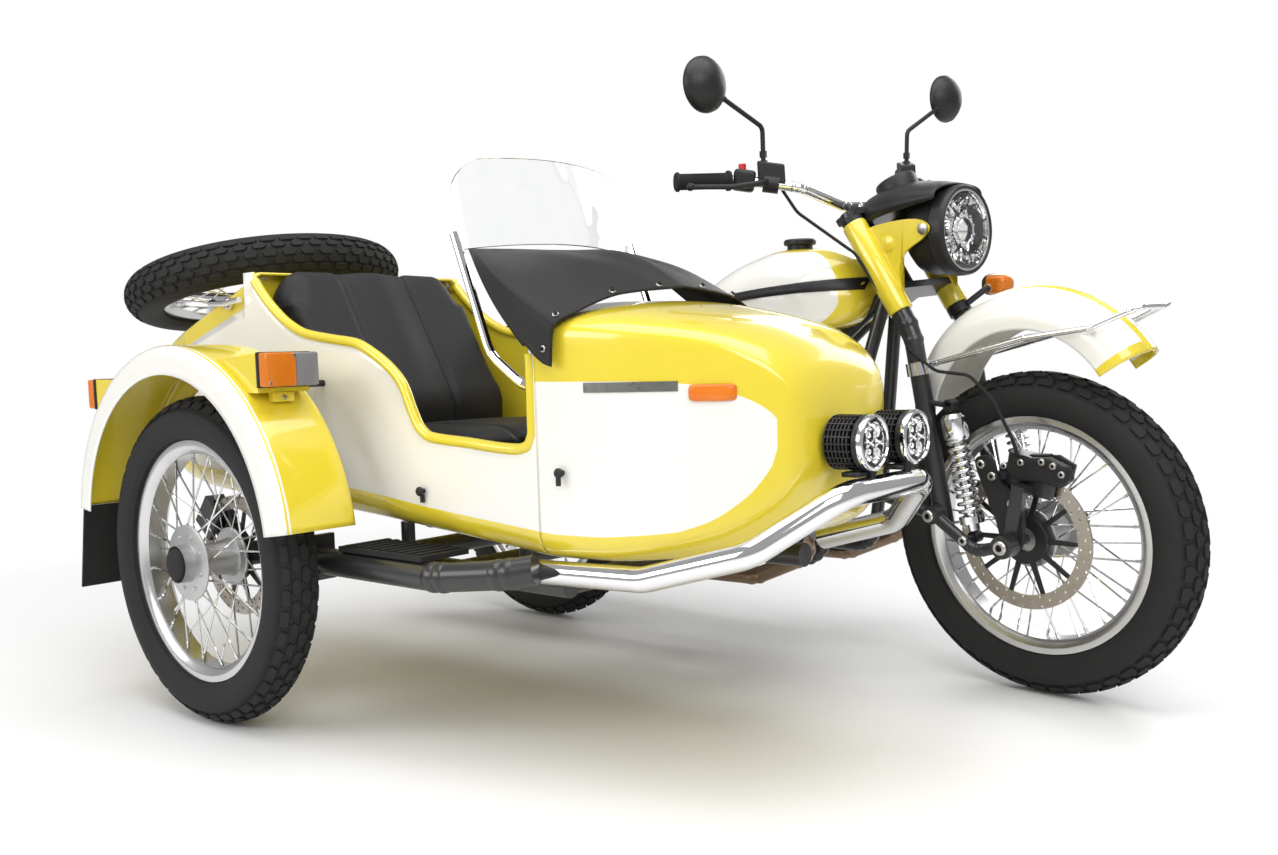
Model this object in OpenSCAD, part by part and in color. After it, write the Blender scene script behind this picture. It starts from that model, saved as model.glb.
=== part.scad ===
// Motorcycle with a flat-twin engine and a passenger sidecar on its right.
// Millimetres. X points forward, Y to the rider's left, Z up. Places are given from the
// rear wheel's contact point, and place() moves the whole to the middle of its footprint.

/* [Wheels] */
// Distance between the front and the rear axle
wheelbase = 1470; // [1420:5:1520]
// Sidecar axle ahead of the rear axle
sidecar_lead = 174; // [150:2:200]
// Sidecar wheel's middle plane, to the right of the motorcycle's middle plane
track = 1174; // [1150:2:1200]
// Outer radius of the tyres
tyre_r = 344; // [338:1:350]
// Radius of a tyre's round section
tyre_section_r = 54; // [50:1:56]
// Height of a tyre above the rim flanges
tyre_rise = 90; // [86:1:94]
// Half the width of a rim over its flanges
rim_half_w = 33; // [30:1:36]
// Spokes in one wheel
spoke_count = 40; // [20:4:48]
// Radius of a spoke
spoke_r = 2; // [1.5:0.5:3]
// Radius of the wheel spindles
axle_r = 10; // [8:1:12]

/* [Steering] */
// Rake of the steering axis from the vertical, in degrees
rake = 30; // [26:1:32]
// Height of the steering axis's reference point
head_z = 978; // [960:2:1000]
// How far ahead of the rear axle that point is
head_x = 1090; // [1070:2:1110]
// Turn of the front wheel to the right as parked, in degrees
parked_turn = 8.7; // [0:0.1:15]
// Fork legs, either side of the middle plane
leg_y = 104; // [100:1:110]
// Radius of a fork leg
leg_r = 20; // [17:1:20]
// Half the width across the grips' ends
bar_half_w = 420; // [380:5:440]

/* [Sidecar] */
// Middle plane of the sidecar body, to the right of the motorcycle's middle plane
body_y = 712; // [700:2:724]
// Thickness of the body's walls
wall = 12; // [8:1:14]
// Thickness of the boot lid's shell
lid_wall = 8; // [6:1:10]
// Radius of the beading round the cockpit
bead_r = 11; // [9:1:13]
// Radius of the sidecar chassis tubes
chassis_r = 24; // [20:1:26]
// Radius of the nose bumper tube
bumper_r = 22; // [18:1:24]

/* [Engine] */
// Cylinder axis ahead of the rear axle
crank_x = 830; // [810:5:850]
// Cylinder axis above the ground
crank_z = 430; // [420:5:450]
// Outer end of each cylinder head, from the middle plane
head_reach = 385; // [370:5:388]
// Fins on each cylinder barrel
fin_count = 9; // [6:1:11]

/* [Hidden] */
$fn = 48;
rim_flange_r = tyre_r - tyre_rise;
run_gap = 0.1;   // shaft in its bore
seat_gap = 0.3;  // pieces that sit on each other
mid_x = 594.35;   // middle of the footprint
mid_y = -397.18;

// Vectors and tubes

function unit(v) = v / norm(v);

// Stands children, built along +Z, on the line from a to b
module along(a, b) {
    d = b - a;
    translate(a) rotate([0, acos(d[2] / norm(d)), atan2(d[1], d[0])]) children();
}

module rod(a, b, r) {
    along(a, b) cylinder(h = norm(b - a), r = r);
}

// Points of a bend of the given radius at the corner p
function bend_points(before, p, after, bend) =
    let(u = unit(p - before), v = unit(after - p), turn = acos(min(1, max(-1, u * v))))
    turn < 12 ? [p] :
    let(centre = p + unit(v - u) * bend / cos(turn / 2),
        ex = unit(p - u * bend * tan(turn / 2) - centre),
        n = max(1, ceil(turn / 24)))
    [for (i = [0 : n]) centre + bend * (cos(turn * i / n) * ex + sin(turn * i / n) * u)];

// Bent tube through corner points, with one bend radius; a ball closes each short turn
ball_over = 1.07;
module tube(p, r, bend) {
    last = len(p) - 1;
    line = concat([p[0]], [for (i = [1 : 1 : last - 1]) each bend_points(p[i - 1], p[i], p[i + 1], bend)],
        [p[last]]);
    for (i = [0 : len(line) - 2]) rod(line[i], line[i + 1], r, $fn = 20);
    for (i = [1 : 1 : len(line) - 2]) along(line[i], line[i] + line[i + 1] - line[i - 1])
        sphere(r * ball_over, $fn = 20);
}

// The same on both sides of the middle plane
module both_sides() {
    children();
    mirror([0, 1, 0]) children();
}

function right(p) = [p[0], -p[1], p[2]];

// Lofted skins

// Rounded outline in the YZ plane at x: half width, bottom, top, bottom and top corner radius
function outline(x, y, half_w, z0, z1, r0, r1, n = 4) = concat(
    [for (i = [0 : n]) let(a = -90 + 90 * i / n) [x, y + half_w - r0 + r0 * cos(a),
        z0 + r0 + r0 * sin(a)]],
    [for (i = [0 : n]) let(a = 90 * i / n) [x, y + half_w - r1 + r1 * cos(a), z1 - r1 + r1 * sin(a)]],
    [for (i = [0 : n]) let(a = 90 + 90 * i / n) [x, y - half_w + r1 + r1 * cos(a),
        z1 - r1 + r1 * sin(a)]],
    [for (i = [0 : n]) let(a = 180 + 90 * i / n) [x, y - half_w + r0 + r0 * cos(a),
        z0 + r0 + r0 * sin(a)]]);

// Closed solid through outlines that have the same number of points, from back to front
module loft(sections) {
    m = len(sections[0]);
    k = len(sections);
    polyhedron(
        points = [for (s = sections) for (p = s) p],
        faces = concat(
            [[for (j = [0 : m - 1]) j]],
            [[for (j = [m - 1 : -1 : 0]) (k - 1) * m + j]],
            [for (i = [0 : k - 2]) for (j = [0 : m - 1]) let(a = i * m + j, b = i * m + (j + 1) % m)
                each [[a, a + m, b + m], [a, b + m, b]]]));
}

// Thin sheet: rows of points from top to bottom, each from the right to the left,
// and the step from front to back at each column
module sheet(rows, back) {
    n = len(rows[0]);
    m = len(rows);
    k = m * n;
    front = [for (row = rows) each row];
    polyhedron(
        points = concat(front, [for (row = rows, j = [0 : n - 1]) row[j] + back[j]]),
        faces = concat(
            [for (i = [0 : m - 2], j = [0 : n - 2]) let(a = i * n + j) each [[a, a + 1, a + n + 1],
                [a, a + n + 1, a + n]]],
            [for (i = [0 : m - 2], j = [0 : n - 2]) let(a = k + i * n + j) each [[a, a + n + 1, a + 1],
                [a, a + n, a + n + 1]]],
            [for (j = [0 : n - 2]) each [[j + 1, j, k + j], [j + 1, k + j, k + j + 1]]],
            [for (j = [0 : n - 2]) let(a = (m - 1) * n + j) each [[a, a + 1, k + a + 1],
                [a, k + a + 1, k + a]]],
            [for (i = [0 : m - 2]) let(a = i * n, b = a + n) each [[a, b, k + b], [a, k + b, k + a]]],
            [for (i = [0 : m - 2]) let(a = i * n + n - 1, b = a + n) each [[b, a, k + a],
                [b, k + a, k + b]]]));
}

// Bent tube as one skin of rings, for a tube that runs mainly in the XZ plane
module swept(p, r, bend, n = 12) {
    last = len(p) - 1;
    line = concat([p[0]], [for (i = [1 : 1 : last - 1]) each bend_points(p[i - 1], p[i], p[i + 1], bend)],
        [p[last]]);
    end = len(line) - 1;
    loft([for (i = [0 : end]) let(way = unit(line[min(end, i + 1)] - line[max(0, i - 1)]),
            across = unit(cross([0, 1, 0], way)), side = cross(way, across))
        [for (j = [0 : n - 1]) line[i] + r * cos(360 * j / n) * across + r * sin(360 * j / n) * side]]);
}

// Value of one column of a table at x, between its rows
function at_x(t, x, c, i = 0) =
    i >= len(t) - 2 || x <= t[i + 1][0]
        ? t[i][c] + (t[i + 1][c] - t[i][c]) * (x - t[i][0]) / (t[i + 1][0] - t[i][0])
        : at_x(t, x, c, i + 1);

// Wheels: built round the Y axis at the origin

module about_y() { rotate([-90, 0, 0]) children(); }

bead_seat_r = rim_flange_r - 12;
rim_wall = 4;

module tyre() {
    color("dimgray") about_y() rotate_extrude($fn = 96) difference() {
        translate([tyre_r - tyre_section_r, 0]) circle(tyre_section_r);
        translate([0, -2 * tyre_section_r]) square([bead_seat_r + seat_gap, 4 * tyre_section_r]);
        for (s = [-1, 1]) translate([0, s * (rim_half_w + tyre_section_r)])
            square([2 * (rim_flange_r + seat_gap), 2 * (tyre_section_r + rim_wall + seat_gap)],
                center = true);
    }
}

// Hub sizes: barrel radius, flange radius, half width, bore
hub_r = 38;
hub_flange_r = 62;
hub_half_w = 62;
flange_y = 44;
flange_w = 7;
rim_well_r = bead_seat_r - 14;

module rim_ring() {
    rotate_extrude($fn = 96) union() {
        translate([rim_well_r - rim_wall, -20]) square([rim_wall, 40]);
        for (s = [0, 1]) mirror([0, s]) {
            polygon([[rim_well_r - rim_wall, 18], [rim_well_r, 20], [bead_seat_r, rim_half_w - rim_wall],
                     [rim_flange_r, rim_half_w - rim_wall], [rim_flange_r, rim_half_w],
                     [bead_seat_r - rim_wall, rim_half_w], [rim_well_r - rim_wall, 22]]);
        }
    }
}

module hub(half_w) {
    rotate_extrude($fn = 64) polygon([[axle_r + run_gap, -half_w], [hub_r - 10, -half_w],
        [hub_r, -flange_y - flange_w], [hub_flange_r, -flange_y - flange_w], [hub_flange_r, -flange_y],
        [hub_r, -flange_y], [hub_r, flange_y], [hub_flange_r, flange_y],
            [hub_flange_r, flange_y + flange_w],
        [hub_r, flange_y + flange_w], [hub_r - 10, half_w], [axle_r + run_gap, half_w]]);
}

// Every second spoke goes to the same flange; each leans round the hub so that pairs cross
spoke_lean = 26;
module spokes() {
    for (i = [0 : spoke_count - 1]) {
        side = i % 2 == 0 ? 1 : -1;
        lean = floor(i / 2) % 2 == 0 ? spoke_lean : -spoke_lean;
        row = lean > 0 ? 1.8 : -1.8;
        a = 360 * i / spoke_count;
        rod([(hub_flange_r - 5) * cos(a + lean), (hub_flange_r - 5) * sin(a + lean),
             side * (flange_y + flange_w / 2 + row)],
            [(rim_well_r - rim_wall / 2) * cos(a), (rim_well_r - rim_wall / 2) * sin(a), side * 9 + row],
            spoke_r);
    }
}

// Brake disc with its carrier, on the hub's end at height y
disc_w = 5;
module disc(outer, inner, y) {
    difference() {
        translate([0, 0, y]) cylinder(h = disc_w, r = outer, center = true, $fn = 96);
        translate([0, 0, y]) cylinder(h = 2 * disc_w, r = inner, center = true, $fn = 96);
    }
    translate([0, 0, y]) difference() {
        union() {
            cylinder(h = disc_w + 3, r = hub_r + 14, center = true);
            for (i = [0 : 9]) rotate([0, 0, 36 * i]) translate([hub_r, -5, -2])
                cube([inner - hub_r + 4, 10, 4]);
        }
        cylinder(h = 4 * disc_w, r = hub_r - 12, center = true);
    }
}

module wheel(half_w, disc_outer, disc_inner, disc_y) {
    color("silver") about_y() {
        rim_ring();
        hub(half_w);
        spokes();
        if (disc_outer > 0) disc(disc_outer, disc_inner, disc_y);
    }
}

// Places of the wheels

rear_axle = [0, 0, tyre_r];
front_axle = [wheelbase, 0, tyre_r];
sidecar_axle = [sidecar_lead, -track, tyre_r];
front_disc_y = -(hub_half_w + disc_w / 2 + 1);
sidecar_disc_y = hub_half_w + disc_w / 2 + 1;

module at_front() { translate(front_axle) children(); }

// The front end turned as it is parked
module turned() {
    head = [head_x, 0, head_z];
    translate(head) rotate([0, -rake, 0]) rotate([0, 0, -parked_turn]) rotate([0, rake, 0])
        translate(-head) children();
}

function axis_x(z) = head_x + (head_z - z) * tan(rake);

// Motorcycle frame

tube_r = 16;
cradle_r = 15;
stem_r = 15;
rail_y = 150;
pivot_x = 400;
pivot_z = 370;
pivot_r = 8;
cradle_z = 262;
seat_rail_z = 738;
seat_rail_y = 106;
head_low = 872;
head_high = 1000;
down_top = [1128, 20, 880];
down_mid = [1050, 100, 500];
down_low = [1000, 118, cradle_z];
cradle_rear = [520, rail_y, cradle_z];
upright_low = [pivot_x, rail_y + 6, pivot_z];
upright_mid = [pivot_x, rail_y - 8, 560];
upright_top = [330, seat_rail_y, seat_rail_z];
sump_z = cradle_z + 16;
saddle_z = 760;
cross_r = 10;
rear_guard_r = 392;
tank_pad_z = 799.4;

module frame() {
    color("black") difference() {
        union() {
            rod([axis_x(head_low), 0, head_low], [axis_x(head_high), 0, head_high], 30);
            both_sides() {
                tube([[1128, 20, 868], [985, 24, 748], [620, 60, 735], [400, seat_rail_y, seat_rail_z],
                      [-60, seat_rail_y, seat_rail_z + 3]], tube_r, 60);
                tube([down_top, down_mid, down_low, cradle_rear, upright_low, upright_mid, upright_top],
                    cradle_r, 55);
                translate([700, 56, seat_rail_z])
                    cylinder(h = tank_pad_z - seat_rail_z, r = 12, $fn = 24);
            }
            for (x = [290, 80]) rod([x, -seat_rail_y, saddle_z - cross_r - 0.5],
                [x, seat_rail_y, saddle_z - cross_r - 0.5], cross_r);
            rod([0, -seat_rail_y, tyre_r + rear_guard_r + cross_r + 0.5],
                [0, seat_rail_y, tyre_r + rear_guard_r + cross_r + 0.5], cross_r);
            rod([pivot_x, -rail_y - 14, pivot_z], [pivot_x, rail_y + 14, pivot_z], pivot_r);
        }
        rod([axis_x(head_low - 40), 0, head_low - 40], [axis_x(head_high + 40), 0, head_high + 40],
            stem_r + run_gap);
    }
}

// Engine and gearbox as one block, with the sump, the front cover and the bell housing

case_half_w = 130;
case_front = 962;
case_rear = 660;
module engine() {
    color("silver") {
        translate([case_rear, -case_half_w + 20, 290])
            cube([case_front - case_rear - 60, 2 * case_half_w - 40, 270]);
        translate([crank_x, 0, crank_z]) rotate([90, 0, 0])
            cylinder(h = 2 * case_half_w, r = 92, center = true);
        translate([case_rear, 0, crank_z]) rotate([0, 90, 0])
            cylinder(h = case_front - case_rear, r = 106);
        translate([case_rear + 20, -85, sump_z + seat_gap]) cube([210, 170, 20]);
        translate([750, -142, cradle_z + cradle_r + 0.4]) cube([24, 284, 18]);
        translate([470, -90, 310]) cube([case_rear - 470, 180, 210]);
        translate([470, 0, 400]) rotate([0, -90, 0]) cylinder(h = 30, r = 60);
    }
}

// Finned barrels, heads and rocker covers, one each side
barrel_r = 56;
fin_w = 172;
module cylinder_unit() {
    fin_from = case_half_w + 14;
    fin_step = (head_reach - 95 - fin_from) / fin_count;
    translate([crank_x, 0, crank_z]) {
        translate([0, case_half_w, 0]) rotate([-90, 0, 0])
            cylinder(h = head_reach - 40 - case_half_w, r = barrel_r);
        for (i = [0 : fin_count - 1]) translate([-fin_w / 2, fin_from + i * fin_step, -fin_w / 2 + 6])
            cube([fin_w, 4, fin_w - 12]);
        translate([-80, head_reach - 92, -72]) cube([160, 50, 144]);
        for (i = [-2 : 2]) translate([i * 32 - 2, head_reach - 92, -84]) cube([4, 50, 168]);
        translate([0, head_reach - 42, 0]) rotate([-90, 0, 0]) cylinder(h = 42, r1 = 70, r2 = 58);
    }
}
module cylinders() { color("silver") both_sides() cylinder_unit(); }

// Header pipes that run under the engine to a silencer on each side
pipe_r = 19;
silencer_r = 42;
port_y = head_reach - 62;
module exhaust() {
    color("peru") both_sides() {
        tube([[crank_x + 80 + seat_gap, port_y, crank_z - 30], [1010, port_y, crank_z - 30],
            [1055, 220, 300],
              [880, 205, 226], [560, 205, 222], [325, 212.4, 262]], pipe_r, 60);
        along([342, 212, 260], [-300, 228, 330]) rotate_extrude()
            polygon([[0, 0], [pipe_r + 5, 0], [silencer_r, 66], [silencer_r, 566], [24, 606], [0, 606]]);
    }
}

// Tank: x, half width, bottom, top
tank_table = [[620, 66, 836, 868], [650, 92, 815, 893], [710, 124, 800, 929], [790, 146, 792, 960],
    [880, 153, 786, 980],
    [970, 146, 784, 976], [1030, 120, 790, 956], [1070, 90, 806, 926], [1092, 60, 836, 888]];
tunnel_half_w = 50;
tunnel_top = 868;
module fuel_tank() {
    color("gold") difference() {
        loft([for (t = tank_table) let(h = t[3] - t[2], r1 = min(t[1] * 0.92, h * 0.62))
            outline(t[0], 0, t[1], t[2], t[3], min(26, h * 0.3), r1, 7)]);
        translate([600, -tunnel_half_w, 700]) cube([600, 2 * tunnel_half_w, tunnel_top - 700]);
    }
}

cap_x = 883;
module tank_fittings() {
    color("black") {
        translate([cap_x, 0, 980.5]) {
            cylinder(h = 12, r = 30);
            translate([0, 0, 12]) cylinder(h = 14, r = 38);
        }
    }
}

// Bench saddle: x, half width, bottom, top
saddle_table = [[-90, 96, 768, 806], [-60, 122, 762, 832], [60, 134, 760, 842], [220, 134, 760, 838],
    [300, 134, 760, 806],
    [420, 130, 760, 796], [520, 108, 760, 806], [590, 70, 766, 826], [606, 52, 780, 820]];
module saddle() {
    color("black") loft([for (t = saddle_table) let(h = t[3] - t[2])
        outline(t[0], 0, t[1], t[2], t[3], 10, min(26, h * 0.45), 4)]);
}

// Mudguards: arched sheet turned round the wheel
guard_t = 3;
module guard_section(crown_r, half_w, drop, corner) {
    difference() {
        union() {
            translate([crown_r - corner, -half_w + corner]) square([corner, 2 * (half_w - corner)]);
            for (s = [-1, 1]) translate([crown_r - corner, s * (half_w - corner)]) circle(corner);
            translate([crown_r - drop, -half_w]) square([drop - corner, 2 * half_w]);
        }
        translate([crown_r - corner, -half_w + corner]) square([corner - guard_t, 2 * (half_w - corner)]);
        for (s = [-1, 1]) translate([crown_r - corner, s * (half_w - corner)]) circle(corner - guard_t);
        translate([crown_r - 2 * drop, -half_w + guard_t])
            square([2 * drop - corner, 2 * (half_w - guard_t)]);
    }
}
module guard(centre, crown_r, half_w, drop, corner, from, to) {
    translate(centre) rotate([90, 0, 0]) rotate([0, 0, from])
        rotate_extrude(angle = to - from, $fn = 96) guard_section(crown_r, half_w, drop, corner);
}

module rear_fender() {
    color("gold") guard(rear_axle, rear_guard_r, 84, 46, 34, 14, 196);
}

// Stands children, built along +X, at an angle on a wheel or guard, from its middle
module on_ring(centre, angle, r) {
    translate(centre) rotate([0, -angle, 0]) translate([r, 0, 0]) children();
}

// Tail lamp over a blank number plate, on the rear guard
module tail_lamp() {
    color("firebrick") on_ring(rear_axle, 148, rear_guard_r + 0.4) {
        translate([0, -30, -26]) cube([20, 60, 52]);
        translate([19, 0, 0]) rotate([0, 90, 0]) cylinder(h = 36, r = 42);
        translate([19, -90, 30]) cube([4, 180, 110]);
        translate([0, -16, 0]) cube([22, 32, 60]);
    }
}

// Rear swinging arm with the bevel box on the right and the spindle
arm_y = 118;
module swingarm() {
    color("black") {
        difference() {
            union() {
                rod([pivot_x, -rail_y + 14, pivot_z], [pivot_x, rail_y - 14, pivot_z], 20);
                both_sides() rod([pivot_x, arm_y, pivot_z], [0, arm_y, tyre_r], 17);
                translate([0, -72, tyre_r]) rotate([90, 0, 0]) cylinder(h = 56, r = 88);
                rod([pivot_x + 60, -arm_y + 30, pivot_z + 12], [40, -arm_y + 20, tyre_r + 6], 14);
            }
            rod([pivot_x, -rail_y, pivot_z], [pivot_x, rail_y, pivot_z], 8 + run_gap);
        }
        rod([0, -136, tyre_r], [0, 136, tyre_r], axle_r);
    }
}

// Spring damper: body, coils as stacked rings, eyes across its ends
module damper(a, b, spring_r, rings) {
    span = norm(b - a);
    along(a, b) {
        cylinder(h = span, r = spring_r * 0.42);
        for (i = [0 : rings - 1]) translate([0, 0, span * (0.2 + 0.52 * i / (rings - 1))])
            rotate_extrude() translate([spring_r - 4.5, 0]) circle(4);
        for (i = [0 : rings - 1]) translate([0, 0, span * (0.2 + 0.52 * i / (rings - 1)) - 1.5])
            cylinder(h = 3, r = spring_r - 4.5);
        translate([0, 0, span * 0.74]) cylinder(h = span * 0.17, r = spring_r);
        translate([0, 0, span * 0.1]) cylinder(h = span * 0.09, r = spring_r);
    }
}

shock_low = [34, 162, 350];
shock_top = [120, 152, seat_rail_z + 2];
module rear_shocks() {
    color("silver") both_sides() {
        damper(shock_low, shock_top, 30, 9);
        rod(shock_low - [0, 26.5, 0], shock_low + [0, 10, 0], 12);
        rod(shock_top - [0, 29.6, 0], shock_top + [0, 10, 0], 12);
    }
}

// Air filter box above the gearbox, between the frame's rails
module air_box() {
    color("black") translate([476, -86, 520 + seat_gap]) cube([164, 172, 170]);
}

// Footrests, brake pedal and gear lever on the frame's lower rails
rest_x = 632;
rest_y = 159;
module foot_controls() {
    color("black") both_sides() {
        rod([rest_x, rest_y, cradle_z], [rest_x, rest_y + 104, cradle_z + 10], 12);
        rod([rest_x, rest_y + 14, cradle_z], [rest_x + 150, rest_y + 44, cradle_z + 6], 7);
        rod([rest_x + 150, rest_y + 32, cradle_z + 6], [rest_x + 150, rest_y + 88, cradle_z + 6], 9);
    }
}

// Sidecar chassis: two long tubes, cross tubes and the four struts clamped to the motorcycle

chassis_z = 338;
inner_y = -462;
outer_y = -958;
cross_front = 1010;
cross_rear = 430;
plate_t = 12;
arm_out_y = -1066;

// Point at a height on the line from a to b
function at_z(a, b, z) = a + (b - a) * (z - a[2]) / (b[2] - a[2]);
// Clamped places on the motorcycle's right: low rear, low front, high rear, high front
clamp_x = 590;
clamp_at = [right([clamp_x, rail_y - (clamp_x - 520) / 15, cradle_z]),
    right(at_z(down_mid, down_low, 400)),
    right(at_z(upright_mid, upright_top, 650)), right(at_z(down_top, down_mid, 660))];
clamp_dir = [right(unit(cradle_rear - down_low)), right(unit(down_low - down_mid)),
    right(unit(upright_top - upright_mid)), right(unit(down_mid - down_top))];
strut_from = [[clamp_x, inner_y, chassis_z], [1100, inner_y, chassis_z], [180, inner_y, chassis_z + 6],
    [1150, inner_y, chassis_z]];
strut_r = [15, 15, 12, 12];

module sidecar_frame() {
    color("black") difference() {
        union() {
            tube([[-160, inner_y, chassis_z + 30], [40, inner_y, chassis_z], [1180, inner_y, chassis_z]],
                chassis_r, 120);
            rod([cross_rear, outer_y, chassis_z], [cross_front, outer_y, chassis_z], chassis_r - 2);
            rod([cross_rear, inner_y, chassis_z], [cross_rear, -1049.5, chassis_z], chassis_r - 3);
            rod([cross_front - 24, inner_y, chassis_z], [cross_front - 24, outer_y, chassis_z],
                chassis_r - 3);
            rod([700, inner_y, chassis_z], [700, outer_y, chassis_z], chassis_r - 6);
            translate([cross_rear - plate_t / 2, -1112, chassis_z - 26]) cube([plate_t, 64, 92]);
            for (i = [0 : 3]) {
                rod(strut_from[i], clamp_at[i], strut_r[i]);
                rod(clamp_at[i] - clamp_dir[i] * 22, clamp_at[i] + clamp_dir[i] * 22, cradle_r + 8);
            }
            for (x = [120, 560, 900], y = [inner_y, outer_y])
                if (x > 400 || y == inner_y) translate([x, y, chassis_z])
                    cylinder(h = tub_floor(x) - chassis_z - 1.4, r = 14);
        }
        for (i = [0 : 3])
            rod(clamp_at[i] - clamp_dir[i] * 60, clamp_at[i] + clamp_dir[i] * 60, cradle_r + seat_gap);
    }
}

// Sidecar wheel's trailing arm, spindle, damper and brake caliper
sidecar_shock = [[206, -1046, 352], [120, -1046, 640]];
caliper_gap = 5;
module sidecar_suspension() {
    disc_at = -track + sidecar_disc_y;
    color("black") {
        rod([cross_rear - plate_t / 2 - 3 * seat_gap, arm_out_y, tyre_r + 8],
            [sidecar_lead, arm_out_y, tyre_r], 16);
        translate([sidecar_lead, arm_out_y - 22, tyre_r]) rotate([-90, 0, 0]) cylinder(h = 44, r = 26);
        rod([sidecar_lead, arm_out_y, tyre_r], [sidecar_lead, -track - hub_half_w - 12, tyre_r], axle_r);
        damper(sidecar_shock[0], sidecar_shock[1], 24, 7);
        rod(sidecar_shock[1], [sidecar_shock[1][0], -body_y - 298 - seat_gap, sidecar_shock[1][2]], 10);
        difference() {
            on_ring([sidecar_lead, 0, tyre_r], 140, 84) translate([0, disc_at - 18, -36])
                cube([66, 44, 72]);
            on_ring([sidecar_lead, 0, tyre_r], 140, 0)
                translate([0, disc_at - disc_w / 2 - caliper_gap, -100])
                    cube([128 + caliper_gap, disc_w + 2 * caliper_gap, 200]);
        }
        on_ring([sidecar_lead, 0, tyre_r], 140, 10) translate([0, arm_out_y - 14, -12])
            cube([90, 12, 24]);
        on_ring([sidecar_lead, 0, tyre_r], 140, 90) translate([0, disc_at + 20, -12])
            cube([20, arm_out_y - disc_at - 20, 24]);
    }
}

// Sidecar body: x, half width, bottom, top of the untrimmed shell
tub_table = [[-385, 205, 585, 720], [-372, 228, 545, 760], [-330, 252, 502, 800], [-250, 272, 474, 950],
    [-100, 287, 456, 950],
    [60, 295, 450, 950], [300, 298, 444, 950], [700, 298, 416, 950], [985, 296, 390, 950]];
function tub_floor(x) = at_x(tub_table, x, 2);
nose_x = 985;
bulkhead_x = 86;

// Side view of what is cut away above the cockpit's beading: x, z
rim_line = [[126, 930], [150, 905], [196, 866], [250, 832], [310, 809], [400, 795], [480, 784],
    [540, 760],
    [590, 730],
    [622, 700], [648, 650], [668, 618], [700, 600], [800, 592], [930, 583], [962, 590], [973, 612],
    [973, 640], [973, 740]];
// Joint between the body and the boot lid, side view: x, z
function lid_seam(x) = 745 + (x + 385) * 0.272;
// Top of the boot lid
lid_top = [[-385, 758], [-360, 786], [-300, 812], [-209, 838], [84, 926]];

module tub_solid(inset, x0, x1) {
    xs = concat([x0], [for (t = tub_table) if (t[0] > x0 + 1 && t[0] < x1 - 1) t[0]], [x1]);
    loft([for (x = xs) let(hw = at_x(tub_table, x, 1) - inset, z0 = at_x(tub_table, x, 2) + inset,
            z1 = at_x(tub_table, x, 3))
        outline(x, -body_y, hw, z0, z1, 46 - inset, 20, 4)]);
}

module sidecar_tub() {
    color("gold") {
        difference() {
            tub_solid(0, -385, nose_x);
            tub_solid(wall, -385 + wall, bulkhead_x);
            tub_solid(wall, bulkhead_x + wall, nose_x + 20);
            // Cockpit opening
            translate([0, -body_y + 400, 0]) rotate([90, 0, 0]) linear_extrude(800)
                polygon(concat(rim_line,
                    [[977, 776], [nose_x + 5, 780], [nose_x + 5, 1000], [126, 1000]]));
            translate([978, -body_y - 400, 780]) cube([100, 800, 300]);
            // Boot opening
            translate([0, -body_y + 400, 0]) rotate([90, 0, 0]) linear_extrude(800)
                polygon([[-420, lid_seam(-420)], [bulkhead_x + 1, lid_seam(bulkhead_x + 1)],
                    [bulkhead_x + 1, 1000], [-420, 1000]]);
        }
        for (s = [-1, 1], i = [0 : len(rim_line) - 2]) hull() for (p = [rim_line[i], rim_line[i + 1]])
            translate([p[0], -body_y + s * (at_x(tub_table, p[0], 1) - wall / 2), p[1]])
                sphere(bead_r, $fn = 8);
    }
}

// Nose of the sidecar: x, half width, bottom, shoulder, crown
nose_table = [[985, 296, 390, 782, 845], [1100, 285, 391, 776, 840], [1200, 259, 398, 768, 824],
    [1300, 219, 414, 752, 798],
    [1360, 188, 440, 728, 768], [1400, 160, 474, 696, 736], [1420, 140, 506, 664, 702],
        [1432, 104, 545, 620, 648]];
function nose_outline(t, inset) = let(hw = t[1] - inset, r = min(46, hw * 0.5) - inset / 2) concat(
    [for (i = [0 : 4]) let(a = -90 + 90 * i / 4) [t[0], -body_y + hw - r + r * cos(a),
        t[2] + inset + r + r * sin(a)]],
    [for (i = [0 : 12]) let(a = 180 * i / 12, w = hw - 10 + 10 * abs(cos(a)))
        [t[0], -body_y + w * cos(a), t[3] - inset / 2 + (t[4] - t[3] - inset / 2) * pow(sin(a), 0.8)]],
    [for (i = [0 : 4]) let(a = 180 + 90 * i / 4) [t[0], -body_y - hw + r + r * cos(a),
        t[2] + inset + r + r * sin(a)]]);
module sidecar_nose() {
    color("gold") difference() {
        loft([for (t = nose_table) nose_outline([max(t[0], nose_x + 0.3), t[1], t[2], t[3], t[4]], 0)]);
        loft([for (t = nose_table) nose_outline([(t[0] - 985) * 0.965 + 985 - (t[0] == 985 ? 10 : 0),
            t[1],
            t[2], t[3], t[4]], wall)]);
    }
}

// Passenger's seat: cushion on its box, and backrest
seat_half_w = 255;
cushion_top = 600;
cushion_x = 330;
module seat_cushion() {
    color("black") translate([cushion_x, -body_y - seat_half_w, 454.4])
        cube([440, 2 * seat_half_w, cushion_top - 454.4]);
}
module seat_back() {
    color("black") translate([0, -body_y + seat_half_w, 0]) rotate([90, 0, 0])
        linear_extrude(2 * seat_half_w)
        polygon([[112, 930], [126, 944], [150, 940], [cushion_x - seat_gap, 640],
            [cushion_x - seat_gap, cushion_top - 40], [240, cushion_top - 40]]);
}

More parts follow.
